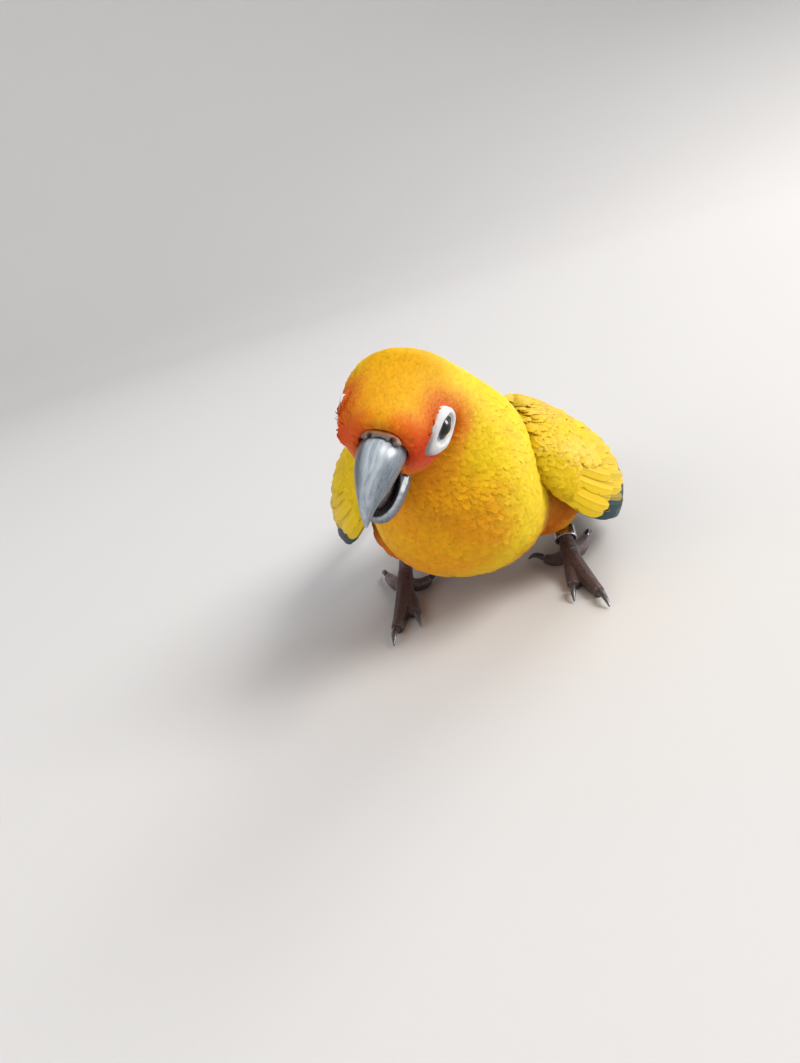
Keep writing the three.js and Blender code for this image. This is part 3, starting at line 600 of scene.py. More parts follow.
class Surface:
    """A closed form that feathers are rooted in."""

    def __init__(self, piece):
        self.points, self.normals = points_of(piece)
        mesh = piece.data
        corners = [tuple(f.vertices) for f in mesh.polygons]
        self.corners = np.array([four + (four[0],) * (4 - len(four)) for four in corners])
        self.tree = tree_of(self.points, self.corners.tolist())
        mesh.calc_loop_triangles()
        self.triangles = np.empty(3 * len(mesh.loop_triangles), np.int32)
        mesh.loop_triangles.foreach_get("vertices", self.triangles)
        self.triangles = self.triangles.reshape(-1, 3)

    def scattered(self, count, random):
        """Random points all over the form, with its normals there."""
        a, b, c = (self.points[self.triangles[:, k]] for k in range(3))
        area = np.linalg.norm(np.cross(b - a, c - a), axis=1)
        chosen = random.choice(len(area), size=count, p=area / area.sum())
        share = random.random((count, 2))
        share = np.where(share.sum(axis=1, keepdims=True) > 1, 1 - share, share)
        weight = np.column_stack((1 - share.sum(axis=1), share))
        corner = self.triangles[chosen]
        points = np.einsum("nk,nkd->nd", weight, self.points[corner])
        normals = unit(np.einsum("nk,nkd->nd", weight, self.normals[corner]))
        return points, normals

    def nearest(self, points):
        found = [self.tree.find_nearest(p) for p in points]
        corner = self.corners[[f[2] for f in found]]
        return np.array([f[0] for f in found]), unit(self.normals[corner].mean(axis=1))


def thinned(points, spacing, random):
    """Keeps one point in each cell of a net whose cells are as wide as the spacing there."""
    level = np.round(np.log(spacing) / SPACING_STEP)
    cell = np.floor(points / np.exp(level * SPACING_STEP)[:, None] + 0.37).astype(int)
    order = random.permutation(len(points))
    _, first = np.unique(np.column_stack((level, cell))[order], axis=0, return_index=True)
    return np.sort(order[first])


def turned(way, normals, angle):
    """Directions turned about the normals by an angle each."""
    side = np.cross(normals, way)
    return unit(way * np.cos(angle)[:, None] + side * np.sin(angle)[:, None])


def laid(surface, roots, normals, ways, lengths):
    """The line that each feather follows over a form: points, normals and directions at each step."""
    stations = [(roots, normals, ways)]
    for _ in range(TRAIL_STEPS):
        here, normal, way = stations[-1]
        here, normal = surface.nearest(here + way * (lengths / TRAIL_STEPS)[:, None])
        way = along_surface(way, normal)
        stations.append((here, normal, way))
    return [np.stack(part, 1) for part in zip(*stations)]


def coat(name, surface, roots, normals, ways, lengths, depths, widths, teeth, colours, tips, places, seed):
    """A piece of many small feathers, with its colours, its UV maps and its smooth faces."""
    random = np.random.default_rng(seed)
    count = len(roots)
    shape, faces = tuft_shape(teeth)
    along, across, height = shape.T
    lengths = lengths * random.uniform(0.8, 1.2, count)
    ways = turned(ways, normals, random.normal(0, VANE_TWIST, count))
    trail = laid(surface, roots, normals, ways, lengths)
    station = np.clip(along * TRAIL_STEPS, 0, TRAIL_STEPS - 1e-6)
    low = station.astype(int)
    share = (station - low)[None, :, None]
    line, up, ahead = (part[:, low] * (1 - share) + part[:, low + 1] * share for part in trail)
    side = unit(np.cross(up, ahead))
    lift = depths[:, None] * random.uniform(0.9, 1.06, (count, 1)) * (1.0 - 0.92 * (1 - along) ** 1.6)
    fringe = 1 + 0.16 * random.uniform(-1, 1, (count, len(along))) * (along > 0.6)
    wide = widths[:, None] * across * fringe
    roll = random.normal(0, VANE_ROLL, (count, 1))
    thick = 0.05 * widths[:, None] + 0.05 * MM
    rise = lift + height * thick + roll * wide - 0.22 * wide * across
    points = line + up * rise[:, :, None] + side * wide[:, :, None]
    points += ahead * (0.06 * lengths[:, None] * (fringe - 1) * 4)[:, :, None]
    faces = outward(points[0], faces)[None] + len(along) * np.arange(count)[:, None, None]
    piece = mesh_of(name, points.reshape(-1, 3), faces.reshape(-1, 3))
    # Each feather's own random tone, times painted shade that darkens it towards its root, where the
    # feathers over it would shade it.
    tone_and_root_shade = random.normal(1, 0.055, (count, 1, 1)) * (0.72 + 0.28 * along[None, :, None] ** 0.8)
    colour = (colours[:, None] * (1 - along[None, :, None]) + tips[:, None] * along[None, :, None]) * tone_and_root_shade
    colour_points(piece, np.clip(colour, 0, 1).reshape(-1, 3))
    patch = np.stack((across, along), -1)[None] * BAKE_PATCH
    map_points(piece, "OFBake", (places[:, None] + patch).reshape(-1, 2))
    barb_places = np.stack((wide / MM, along[None] * lengths[:, None] / MM), -1)
    map_points(piece, "vane", barb_places.reshape(-1, 2))
    smooth_faces(piece, SHARP_TUFT)
    return piece


def around_line(points):
    """Where points are on an unwrap of the body: the turn about its middle line and the place along it."""
    along, weight = along_line(points)
    centre = weight @ middle_line
    axis = unit(weight @ line_ahead)
    across = unit(np.cross(axis, (0, 0, 1)))
    above = np.cross(across, axis)
    arm = points - centre
    turn = np.arctan2(np.sum(arm * across, 1), np.sum(arm * above, 1))
    return np.column_stack((0.5 + turn / (2 * math.pi), along))


def around_leg(points, side):
    """The same for a thigh."""
    top, end = LEGS[side]
    axis = (end - top) / np.linalg.norm(end - top)
    across = unit(np.cross(axis, (1, 0, 0)))
    arm = points - top
    turn = np.arctan2(arm @ across, arm @ np.cross(axis, across))
    return np.column_stack((0.5 + turn / (2 * math.pi), on_leg(points, side)[1]))


def soft_feathers(name, scale=1.0, roughness=0.62):
    """The finish of feathers: the marking's colour, streaked along the barbs, with a silky edge."""
    sheen = {"Sheen_Weight": 0.04, "Sheen_Roughness": 0.45}
    finish = Finish(name, Roughness=roughness, Specular_IOR_Level=0.16, **sheen)
    colour = finish.stored_colour()
    place = finish.node("UVMap", {"uv_map": "vane"})
    across = finish.node("SeparateXYZ", {}, {"Vector": place}, output="X")
    along = finish.node("SeparateXYZ", {}, {"Vector": place}, output="Y")
    slant = finish.node("Math", {"operation": "ABSOLUTE"}, {0: across})
    barb, width = (along - slant * BARB_SLANT) * (BARBS_ALONG * scale), across * (BARBS_ACROSS * scale)
    streak = finish.noise(finish.node("CombineXYZ", {}, {"X": barb, "Y": width}), 1.0, 2.0)
    cloud = finish.noise(finish.here(), 160.0)
    shade = finish.mixed(streak * 0.55, colour, (0.55, 0.42, 0.28), "MULTIPLY")
    finish.feed(Base_Color=finish.mixed(cloud * 0.3, shade, (0.8, 0.62, 0.4), "MULTIPLY"))
    finish.bump(streak, 0.35, BARB_RELIEF)
    return finish


def clear_of(points, node, distance):
    """Whether points are outside a solid and at least a distance from it."""
    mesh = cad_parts[node].data
    tree = tree_of([v.co for v in mesh.vertices], [tuple(f.vertices) for f in mesh.polygons])
    clear = []
    for p in points:
        place, normal, _, away = tree.find_nearest(p)
        clear.append(away > distance and (Vector(p) - place).dot(normal) > 0)
    return np.array(clear)


# Where the body's feathers are rooted: nowhere on the bare patches, in the mouth, in the eye sockets or
# close against the bill.
BODY_ROOTS = 140000  # random places that roots are chosen from
BILL_GAP = 0.5 * MM
PATCH_EDGE = 0.93
feather_random = np.random.default_rng(7)
body = Surface(skin)
roots, root_normals = body.scattered(BODY_ROOTS, feather_random)
root_along, _ = along_line(roots)
face = to_head(roots)
patch_away = np.linalg.norm(patch_place(face), axis=1)
root_leg = {side: on_leg(roots, side) for side in LEGS}
leg_share = np.maximum(root_leg[1][0], root_leg[-1][0])
leg_down = np.where(root_leg[1][0] > root_leg[-1][0], root_leg[1][1], root_leg[-1][1])
length = np.interp(root_along, LINE_MARKS, FEATHER_LENGTHS)
length = length * (1 - leg_share) + leg_share * np.interp(leg_down, (0.3, 0.8, 1.05), (9.0, 6.5, 4.0))
length = length * (0.45 + 0.55 * smooth(patch_away, 1.0, 2.1))
spacing = np.maximum(SPACING_SHARE * length, SHORT_SPACING + SHORT_SPACING_SHARE * length)
kept = thinned(roots, spacing * MM, feather_random)
open_mouth = near(face[kept], MOUTH_AT, (5.6, 9.4, 5.0), 0.05) > 0.5
bare = patch_away[kept] < PATCH_EDGE
outwards = np.sum(unit(face[kept] - (0, -3, -2)) * (root_normals[kept] @ HEAD_AXES), axis=1)
in_the_socket = (root_along[kept] < 0.15) & (outwards < 0.3)
kept = kept[~(bare | open_mouth | in_the_socket)]
for node in ("bill_upper", "bill_lower", "cere"):
    close = np.flatnonzero(root_along[kept] < 0.2)
    clear = np.ones(len(kept), bool)
    clear[close] = clear_of(roots[kept[close]], node, BILL_GAP)
    kept = kept[clear]
roots, root_normals, root_along, length = roots[kept], root_normals[kept], root_along[kept], length[kept]
face, patch_away = face[kept], patch_away[kept]

# Which way they lie, and how far their tips stand off the skin. They turn away from the eyes, and their tips
# lie low at the edges of the bare patches. The right brow is fuller, so that it hides most of the right eye.
TIP_SHARE = 0.8  # of a feather's length, where its tip's colour and depth are taken
BROW_RISE = 1.3 * MM
way = lie_of_coat(roots, root_normals)
eye_side = from_head(face * (1, 0, 0) + (0, -6.5, 2.0))
away_from_eye = along_surface(unit(roots - eye_side), root_normals)
part_round_eye = (1 - smooth(patch_away, 1.0, 1.9))[:, None] * 0.9
way = unit(way + away_from_eye * part_round_eye)
tips = roots + way * (TIP_SHARE * length * MM)[:, None]
right_brow = near(face, (-11.5, -12, 2.5), (4, 4, 6), 0.5)
depth = coat_depth(roots)
depth = np.where(patch_away < 1.15, np.minimum(depth, coat_depth(tips)), depth)
depth += BROW_RISE * right_brow
root_colour = marking(roots)
tip_colour = marking(tips)
feather_finish = soft_feathers("body_feathers")
COAT_ENDS = (0.15, 0.27, 0.42, 0.53, 0.64)  # along the middle line
BODY_COATS = (  # name, slot, points at a feather's tip, and the leg that it is on or 0
    ("coat_face", "plumage_head", 5, 0),
    ("coat_crown", "plumage_head", 5, 0),
    ("coat_neck", "plumage_head", 7, 0),
    ("coat_breast", "plumage_body", 7, 0),
    ("coat_belly", "plumage_body", 7, 0),
    ("coat_rump", "plumage_body", 7, 0),
    ("coat_thigh_left", "plumage_body", 7, 1),
    ("coat_thigh_right", "plumage_body", 7, -1),
)
coat_of = np.digitize(root_along, COAT_ENDS)
for index, (_, _, _, leg) in enumerate(BODY_COATS):
    if leg:
        coat_of[on_leg(roots, leg)[0] > 0.5] = index
for index, (name, slot, teeth, leg) in enumerate(BODY_COATS):
    chosen = np.flatnonzero(coat_of == index)
    places = around_leg(roots[chosen], leg) if leg else around_line(roots[chosen])
    feathers = coat(
        name,
        body,
        roots[chosen],
        root_normals[chosen],
        way[chosen],
        length[chosen] * MM,
        depth[chosen],
        length[chosen] * HALF_WIDTH_SHARE * MM,
        teeth,
        root_colour[chosen],
        tip_colour[chosen],
        places,
        20 + index,
    )
    dress(feathers, feather_finish, slot)

# The wings, held a little out from the body. Each is an arm of flesh on a bowed sheet between its lower and
# its upper edge, with the flight feathers fanned over one another and the coverts in rows over their roots.
WING_ROWS = (  # lower edge, bow and upper edge of the left wing from shoulder to tip, in millimetres
    (22.5, -25.0, 49.0, 26.5, -26.0, 54.0, 21.5, -20.0, 59.5),
    (29.0, -19.5, 36.5, 41.0, -18.0, 54.0, 18.5, -9.0, 63.5),
    (38.5, -9.0, 24.6, 53.0, -4.0, 48.5, 19.0, 6.0, 61.0),
    (47.5, 9.0, 16.5, 57.5, 13.0, 42.0, 20.5, 23.0, 54.5),
    (50.5, 33.0, 12.5, 56.5, 36.0, 33.0, 21.5, 42.0, 45.5),
    (48.0, 62.0, 10.5, 52.0, 64.0, 25.0, 22.5, 63.0, 35.0),
    (42.0, 92.0, 9.0, 45.0, 92.0, 18.0, 27.0, 90.0, 24.0),
    (35.5, 118.0, 9.5, 36.5, 118.5, 11.5, 33.5, 118.0, 13.0),
)
WING_LENGTH = 147  # millimetres along the sheet
RIGHT_WING_SPREAD, RIGHT_WING_LIFT = 0.91, 2  # the right wing lies closer to the body and higher
ARM_END = 0.44
WING_BLUE = paint("12293c")
WING_TEAL = paint("0d3a48")
WING_GREEN = paint("24602a")
WING_YELLOW = paint("f8d608")


def sheet(s, t):
    """Points of the left wing's sheet: s from shoulder to tip, t from the lower edge to the upper."""
    row = between(WING_ROWS, np.asarray(s) * (len(WING_ROWS) - 1))
    lower, bow, upper = row[..., 0:3], row[..., 3:6], row[..., 6:9]
    t = np.asarray(t)[..., None]
    first = lower + (bow - lower) * t
    return first + (bow + (upper - bow) * t - first) * t


HEIGHT_STEPS = np.linspace(0, 1, 60)
sheet_lines = sheet(HEIGHT_STEPS[:, None], np.linspace(0, 1, 25)[None])
SHEET_HEIGHTS = np.linalg.norm(np.diff(sheet_lines, axis=1), axis=2).sum(axis=1)


def sheet_height(s):
    """How far it is across the sheet, in millimetres."""
    return np.interp(s, HEIGHT_STEPS, SHEET_HEIGHTS)


def on_wing(s, y, lift, side):
    """Points of a wing: y millimetres across its sheet from its lower edge, lift millimetres out from it."""
    s, y, lift = np.broadcast_arrays(*(np.asarray(part, float) for part in (s, y, lift)))
    t = y / sheet_height(s)
    u, v = np.clip(s, 0.01, 0.99), np.clip(t, 0.01, 0.99)
    forward = sheet(u + 0.01, v) - sheet(u - 0.01, v)
    across = sheet(u, v + 0.01) - sheet(u, v - 0.01)
    out = unit(np.cross(forward, across))
    points = sheet(s, t) + out * lift[..., None]
    if side < 0:
        points = points * (-RIGHT_WING_SPREAD, 1, 1) + (0, 0, RIGHT_WING_LIFT)
    return rolled(points)


def round_faces(around, rows):
    """Faces of four corners between rows of points that go round."""
    ring = np.arange(around)
    start = (np.arange(rows - 1) * around)[:, None]
    a, b = start + ring, start + (ring + 1) % around
    return np.stack((a, b, b + around, a + around), -1).reshape(-1, 4)


def closed_rows(around, rows):
    """Triangles between rows of points that go round, with the first and the last row closed."""
    quads = round_faces(around, rows)
    step = np.arange(1, around - 1)
    last = (rows - 1) * around
    start_cap = np.stack((0 * step, step + 1, step), -1)
    end_cap = last + np.stack((0 * step, step, step + 1), -1)
    return np.concatenate((quads[:, (0, 1, 2)], quads[:, (0, 2, 3)], start_cap, end_cap))


VANE_ACROSS = (-1.0, -0.5, -0.09, 0.0, 0.09, 0.5, 1.0)
VANE_UNDER = (0.6, 0.0, -0.6)
SHAFT_RISE = np.array((0.0, 0.5, 0.5, 1.3, 0.5, 0.5, 0.0, -0.5, -0.9, -0.5))  # in half thicknesses
SPLIT_BARBS = 0.94  # random numbers over this split the edge


def rows_along(steps, tip):
    """Where the rows of points of a long feather lie, from 0 at its root, closer together round its tip."""
    blade = np.linspace(0, 1 - tip, steps, endpoint=False)
    return np.concatenate((blade, 1 - tip * np.cos(np.linspace(0, 1.5, 7))))


def vane(place, share, ends, middle, half, top, tilt, quill, random, thick, tip, point=1.0, cup=0.12):
    """A long feather on a sheet: a closed blade with a raised shaft, a rounded tip and a few split barbs.

    place gives points of the sheet, and share is where the feather's rows of points lie along it. ends are
    where it starts and stops along the sheet. middle, half and top are its middle line, half width and
    height at each row, in millimetres, and tilt is the rise from one edge to the other for each millimetre.
    quill is where the shaft runs across it.
    """
    s = ends[0] + (ends[1] - ends[0]) * share
    past = np.clip((share - 1 + tip) / tip, 0, 1)
    round_off = (1 - past ** (2 * point)) ** (0.5 / point)
    wide = (half * np.maximum(round_off, 0.04))[:, None]
    middle, top, tilt = (np.broadcast_to(part, share.shape)[:, None] for part in (middle, top, tilt))
    v = np.tile(np.array(VANE_ACROSS + VANE_UNDER), (len(share), 1))
    edge = abs(v) == 1
    nick = 1 - 0.05 * random.random(v.shape) - 0.22 * (random.random(v.shape) > SPLIT_BARBS)
    v = np.where(edge & (share[:, None] > 0.3), v * nick, v)
    v = np.where(abs(v) < 0.95, v + quill * (1 - abs(v)), v)
    level = top - tilt * v * wide - cup * v * v * wide**2 / 6
    points = place(s[:, None], middle + v * wide, level + SHAFT_RISE * thick * 0.5)
    along = share[:, None] * (ends[1] - ends[0]) * WING_LENGTH
    return {
        "points": points.reshape(-1, 3),
        "faces": closed_rows(v.shape[1], len(share)),
        "share": np.repeat(share, v.shape[1]),
        "across": v.reshape(-1),
        "vane": np.stack(np.broadcast_arrays(v * wide, along), -1).reshape(-1, 2),
        "root": (ends[0], float(middle[0, 0])),
    }


def feather_piece(name, vanes, colour_of):
    """Joins feathers into a piece. colour_of gives a feather's colours from its number and the feather."""
    offset = 0
    points, faces, colours, bake, places = [], [], [], [], []
    for number, one in enumerate(vanes):
        points.append(one["points"])
        faces.append(outward(one["points"], one["faces"]) + offset)
        offset += len(one["points"])
        colours.append(colour_of(number, one))
        patch = np.column_stack((one["across"], one["share"])) * BAKE_PATCH
        bake.append(np.array((one["root"][0] * 0.9, one["root"][1] / 60)) + patch)
        places.append(one["vane"])
    piece = mesh_of(name, np.concatenate(points), np.concatenate(faces))
    colour_points(piece, np.clip(np.concatenate(colours), 0, 1))
    map_points(piece, "OFBake", np.concatenate(bake))
    map_points(piece, "vane", np.concatenate(places))
    smooth_faces(piece, SHARP_VANE)
    return piece


PRIMARIES, SECONDARIES, TERTIALS = 10, 9, 4
PRIMARY_TIPS, SECONDARY_TIPS, TERTIAL_TIPS = (1.0, 0.842), (0.77, 0.66), (0.64, 0.565)
FLIGHT_ROOT = 0.36
FLIGHT_STEP = 2.0  # millimetres across the wing from one flight feather to the next
FLIGHT_HALF_WIDTH, SECONDARY_WIDER, TERTIAL_WIDER = 3.7, 0.5, 0.4


def flight_feathers(side, random):
    """Primaries, secondaries and tertials, each a step further across the wing than the one before."""
    tips = np.concatenate((
        np.linspace(*PRIMARY_TIPS, PRIMARIES) ** 1.02,
        np.linspace(*SECONDARY_TIPS, SECONDARIES),
        np.linspace(*TERTIAL_TIPS, TERTIALS),
    ))
    vanes = []
    for number, end in enumerate(tips):
        end = end - 0.006 * random.random()
        full = FLIGHT_HALF_WIDTH + SECONDARY_WIDER * (number >= PRIMARIES)
        full = full + TERTIAL_WIDER * (number >= PRIMARIES + SECONDARIES) + 0.2 * random.random()
        tip = 0.14 if number < PRIMARIES else 0.2
        share = rows_along(22, tip)
        s = FLIGHT_ROOT + (end - FLIGHT_ROOT) * share
        step = FLIGHT_STEP * (1 - 0.19 * (s - FLIGHT_ROOT) / (1 - FLIGHT_ROOT))
        half = full * (0.75 + 0.25 * smooth(share, 0, 0.3)) * (1 - 0.12 * smooth(share, 0.5, 1))
        vanes.append(vane(
            lambda s, y, lift: on_wing(s, y, lift, side),
            share,
            (FLIGHT_ROOT, end),
            3.0 + number * step,
            half,
            -3.2 * (1 - smooth(s, 0.5, 0.86)),
            0.62 / step,
            -0.3 if number < PRIMARIES else -0.12,
            random,
            thick=0.3,
            tip=tip,
        ))
    return vanes


def flight_colour(number, one):
    """Dark blue vanes with teal and green outer edges, and some yellow on the innermost."""
    share, across = one["share"], one["across"]
    colour = all_over(WING_BLUE, share)
    colour = blended(colour, WING_TEAL, 0.8 * smooth(-across, -0.1, 0.6) * (1 - smooth(share, 0.75, 1.0)))
    edge = smooth(-across, 0.45, 0.95) * (1 - smooth(share, 0.55, 0.9))
    colour = blended(colour, WING_GREEN, 0.9 * edge)
    inner = smooth(number, PRIMARIES + 3, PRIMARIES + SECONDARIES + TERTIALS)
    colour = blended(colour, WING_YELLOW, 0.7 * inner * (1 - smooth(share, 0.5, 0.95)))
    shaft = 1 - 0.6 * smooth(0.12 - abs(across + 0.3 * (number < PRIMARIES)), 0, 0.1)
    return colour * shaft[:, None] * (0.9 + 0.1 * math.sin(number * 2.4))


# Rows of coverts from the longest up: roots and tips along the sheet at its lower and its upper edge, the
# number of feathers, and the heights of their faces at root and tip, in millimetres.
COVERT_ROWS = (
    ((0.29, 0.27), (0.56, 0.485), 20, (-1.6, 0.0)),
    ((0.20, 0.20), (0.415, 0.385), 20, (-1.1, 0.5)),
    ((0.145, 0.145), (0.33, 0.315), 21, (-0.8, 0.7)),
)
COVERT_TIP = 0.34


def covert_feathers(side, random):
    """The rows of coverts, each feather in its share of the wing's height."""
    vanes = []
    share = rows_along(9, COVERT_TIP)
    for row, (roots, tips, count, heights) in enumerate(COVERT_ROWS):
        for number in range(count):
            at = (number + 0.5 + 0.15 * random.normal()) / count
            start = roots[0] + (roots[1] - roots[0]) * at
            end = tips[0] + (tips[1] - tips[0]) * at + 0.012 * random.normal()
            lift = 0.22 * (number % 2) + 0.1 * random.normal()
            wide = 0.92 + 0.1 * random.random()
            spread = sheet_height(start + (end - start) * share)
            vanes.append(vane(
                lambda s, y, lift: on_wing(s, y, lift, side),
                share,
                (start, end),
                spread * np.clip(at, 0.03, 0.97),
                spread / count * wide,
                heights[0] + (heights[1] - heights[0]) * share**0.8 + lift,
                0.05,
                0.0,
                random,
                thick=0.24,
                tip=COVERT_TIP,
            ))
            vanes[-1].update(row=row, at=at)
    return vanes


def covert_colour(number, one):
    """Bright yellow, with blue-green primary coverts at the lower edge of the longest rows."""
    share, across, at = one["share"], one["across"], one["at"]
    colour = all_over(WING_YELLOW, share) * (0.93 + 0.1 * math.sin(number * 3.7))
    # Orange towards the roots along the upper edge: painted shade where the shoulder's dome turns from the
    # light.
    colour = blended(colour, ORANGE, 0.25 * smooth(at, 0.5, 1.0) * (1 - share))
    if one["row"] == 0:
        dark = 1 - smooth(at, 0.3, 0.44)
        colour = blended(colour, WING_TEAL, dark * smooth(share, 0.0, 0.2))
        colour = blended(colour, WING_GREEN, 0.4 * dark * smooth(abs(across), 0.5, 1.0))
        colour = blended(colour, WING_GREEN, 0.45 * (1 - dark) * smooth(share, 0.75, 1.0))
    if one["row"] == 1:
        dark = 1 - smooth(at, 0.08, 0.16)
        colour = blended(colour, WING_TEAL, dark * smooth(share, 0.2, 0.5))
    return colour


ARM_STEPS, ARM_ACROSS = 22, 12
ARM_VOXEL = 0.8 * MM


def arm_piece(name, side):
    """The flesh of a wing, on the inner side of its sheet, thin at both edges."""
    rings = []
    for s in np.linspace(0.0, ARM_END, ARM_STEPS):
        thick = 2.6 + 4.2 * smooth(s, 0.0, 0.1) - 2.6 * smooth(s, 0.15, ARM_END)
        t = np.linspace(0.02, 0.98, ARM_ACROSS)
        rim = np.maximum(0.35, np.sin(np.pi * t) ** 0.5)
        top = -0.9 - 1.2 * smooth(s, 0.28, ARM_END)
        outer = on_wing(s, t * sheet_height(s), top, side)
        inner = on_wing(s, t * sheet_height(s), top - thick * rim, side)
        rings.append(np.concatenate((outer, inner[::-1])))
    points = np.concatenate(rings)
    faces = outward(points, closed_rows(2 * ARM_ACROSS, ARM_STEPS))
    piece = mesh_of(name, points, faces)
    modified(piece, "REMESH", mode="VOXEL", voxel_size=ARM_VOXEL)
    modified(piece, "SMOOTH", factor=0.5, iterations=6)
    smooth_faces(piece)
    return piece


# Small feathers over the shoulder, the edges and the inner face of the arm, but not over the dark corner
# that the longest coverts make at the lower edge.
SMALL_SPACING, SMALL_WIDTH = 0.19, 0.3  # shares of a feather's length
SMALL_ROOTS = 14000
GRID_S, GRID_T = (
    part.ravel() for part in np.meshgrid(np.linspace(0.005, 0.995, 60), np.linspace(0.02, 0.98, 24))
)


def small_wing_feathers(label, side, arm, random):
    """A coat rooted in the arm of the wing, with its feathers pointing to the wing's tip."""
    form = Surface(arm)
    roots, normals = form.scattered(SMALL_ROOTS, random)
    height = GRID_T * sheet_height(GRID_S)
    grid = on_wing(GRID_S, height, 0.0, side)
    nearest = np.argmin(((roots[:, None] - grid[None]) ** 2).sum(axis=2), axis=1)
    ahead = unit(on_wing(GRID_S + 0.004, height, 0.0, side) - grid)[nearest]
    out = unit(on_wing(GRID_S, height, 1.0, side) - grid)[nearest]
    s, t = GRID_S[nearest], GRID_T[nearest]
    outside = np.sum(normals * out, axis=1)
    length = np.where(outside > 0.2, 4.0 + 14.0 * s, 6.0 + 12 * s)
    dark_corner = (s > 0.15) & (t < 0.35) & (outside > -0.6)
    wanted = (outside < 0.5) | (s < 0.21) | (t < 0.04) | (t > 0.96)
    wanted &= (s + length / WING_LENGTH < 0.52) & ~dark_corner
    kept = np.flatnonzero(wanted)
    kept = kept[thinned(roots[kept], SMALL_SPACING * length[kept] * MM, random)]
    roots, normals, ahead, length, s, t, outside = (
        part[kept] for part in (roots, normals, ahead, length, s, t, outside)
    )
    colour = blended(all_over(WING_YELLOW, roots), OCHRE, 0.7 * smooth(-outside, -0.1, 0.5))
    colour = blended(colour, ORANGE, 0.35 * smooth(t, 0.6, 1.0) * patches(roots, 5, 15))
    return coat(
        "small_wing_feathers_" + label,
        form,
        roots,
        normals,
        along_surface(ahead, normals),
        length * MM,
        np.where(outside > 0.2, 2.0, 1.1) * MM,
        length * SMALL_WIDTH * MM,
        7,
        # roots a tenth darker, painted shade under the feathers over them
        colour * 0.9,
        colour,
        np.column_stack((s, t + (outside < 0))) * 0.5,
        60 + side,
    )


wing_finish = soft_feathers("wing_feathers", 0.8, 0.5)
arm_finish = Finish("wing_skin", Roughness=0.7)
arm_finish.feed(Base_Color=arm_finish.stored_colour())
arm_finish.bump(arm_finish.noise(arm_finish.here(), SKIN_GRAIN), 0.5, SKIN_RELIEF)
for side, label in ((1, "left"), (-1, "right")):
    random = np.random.default_rng(40 + side)
    arm = arm_piece("wing_arm_" + label, side)
    colour_points(arm, all_over(WING_YELLOW * 0.6, arm.data.vertices))
    dress(arm, arm_finish, "plumage_wing", "wing_" + label)
    flight = feather_piece("flight_feathers_" + label, flight_feathers(side, random), flight_colour)
    dress(flight, wing_finish, "plumage_wing", "wing_" + label)
    coverts = feather_piece("wing_coverts_" + label, covert_feathers(side, random), covert_colour)
    dress(coverts, wing_finish, "plumage_wing", "wing_" + label)
    small = small_wing_feathers(label, side, arm, random)
    dress(small, wing_finish, "plumage_wing", "wing_" + label)

# The tail, long and graduated: two middle feathers over five pairs, laid level at their tips, with coverts
# over and under their roots.
TAIL_LENGTH, TAIL_REST = 132, 0.25  # millimetres, and the share of it that lies level
TAIL_ROOT = (0, 50, 23.5)
TAIL_LAYER, TAIL_DROP = 0.95, 0.1
TAIL_START, TAIL_TIP, TAIL_COVERT_TIP = -0.02, 0.2, 0.36
TAIL_OLIVE = paint("4f6a1e")
TAIL_BLUE = paint("173048")
TAIL_TEAL = paint("1d5a5c")
# Where each ends, the side it is on or 0 for a pair, the degrees it points outwards, and where it starts.
RECTRICES = (
    (1.0, 1, 0.6, 1.4),
    (0.985, -1, 0.7, 1.6),
    (0.93, 0, 1.9, 3.6),
    (0.83, 0, 3.1, 4.6),
    (0.72, 0, 4.3, 5.4),
    (0.61, 0, 5.5, 6.0),
    (0.51, 0, 6.8, 6.5),
)


def on_tail(s, x, lift):
    """Points of the tail: x millimetres out, lift millimetres above its lowest layer."""
    s, x, lift = np.broadcast_arrays(*(np.asarray(part, float) for part in (s, x, lift)))
    level = 1 - TAIL_REST
    fall = np.where(s < level, 1 - s / level, 0)
    z = TAIL_ROOT[2] * (0.55 * fall + 0.45 * fall * fall) + lift
    return rolled(np.stack((x, TAIL_ROOT[1] + TAIL_LENGTH * s, z), -1))


def layer_height(layer, s):
    """One step for each layer below that reaches this far."""
    height = 0 * s
    for end, *_ in RECTRICES[layer + 1 :]:
        height = height + TAIL_LAYER * (1 - smooth(s, end, end + TAIL_DROP))
    return height


tail_random = np.random.default_rng(51)
tail_vanes = []
for layer, (end, side, angle, first) in enumerate(RECTRICES):
    for way in (side,) if side else (1, -1):
        start, end_here = TAIL_START, end - 0.008 * tail_random.random()
        full = 5.5 + 0.3 * tail_random.random()
        share = rows_along(26, TAIL_TIP)
        s = start + (end_here - start) * share
        half = full * (0.55 + 0.45 * smooth(s, 0, 0.25)) * (1 - 0.28 * smooth(s, 0.5, 1))
        out = first + math.tan(math.radians(angle)) * s * TAIL_LENGTH
        tail_vanes.append(vane(
            on_tail,
            share,
            (start, end_here),
            way * (out if side else np.maximum(out, half + 0.25)),
            half,
            layer_height(layer, s) + 0.3,
            0.0,
            0.0 if side else -0.25 * way,
            tail_random,
            thick=0.3,
            tip=TAIL_TIP,
            point=0.75,
            cup=0.05,
        ))
        tail_vanes[-1]["side"] = way


def tail_colour(number, one):
    """Olive green with teal outer edges, turning dark blue towards the tips."""
    share, across = one["share"], one["across"] * one["side"]
    colour = all_over(TAIL_OLIVE, share)
    colour = blended(colour, TAIL_TEAL, 0.6 * smooth(across, 0.2, 0.9))
    colour = blended(colour, TAIL_BLUE, 0.9 * smooth(share, 0.5, 0.85))
    return colour * (0.92 + 0.1 * math.sin(number * 1.9))


rectrices = feather_piece("tail_feathers", tail_vanes, tail_colour)
tail_finish = soft_feathers("tail_feathers", 0.8, 0.45)
dress(rectrices, tail_finish, "plumage_tail", "tail")

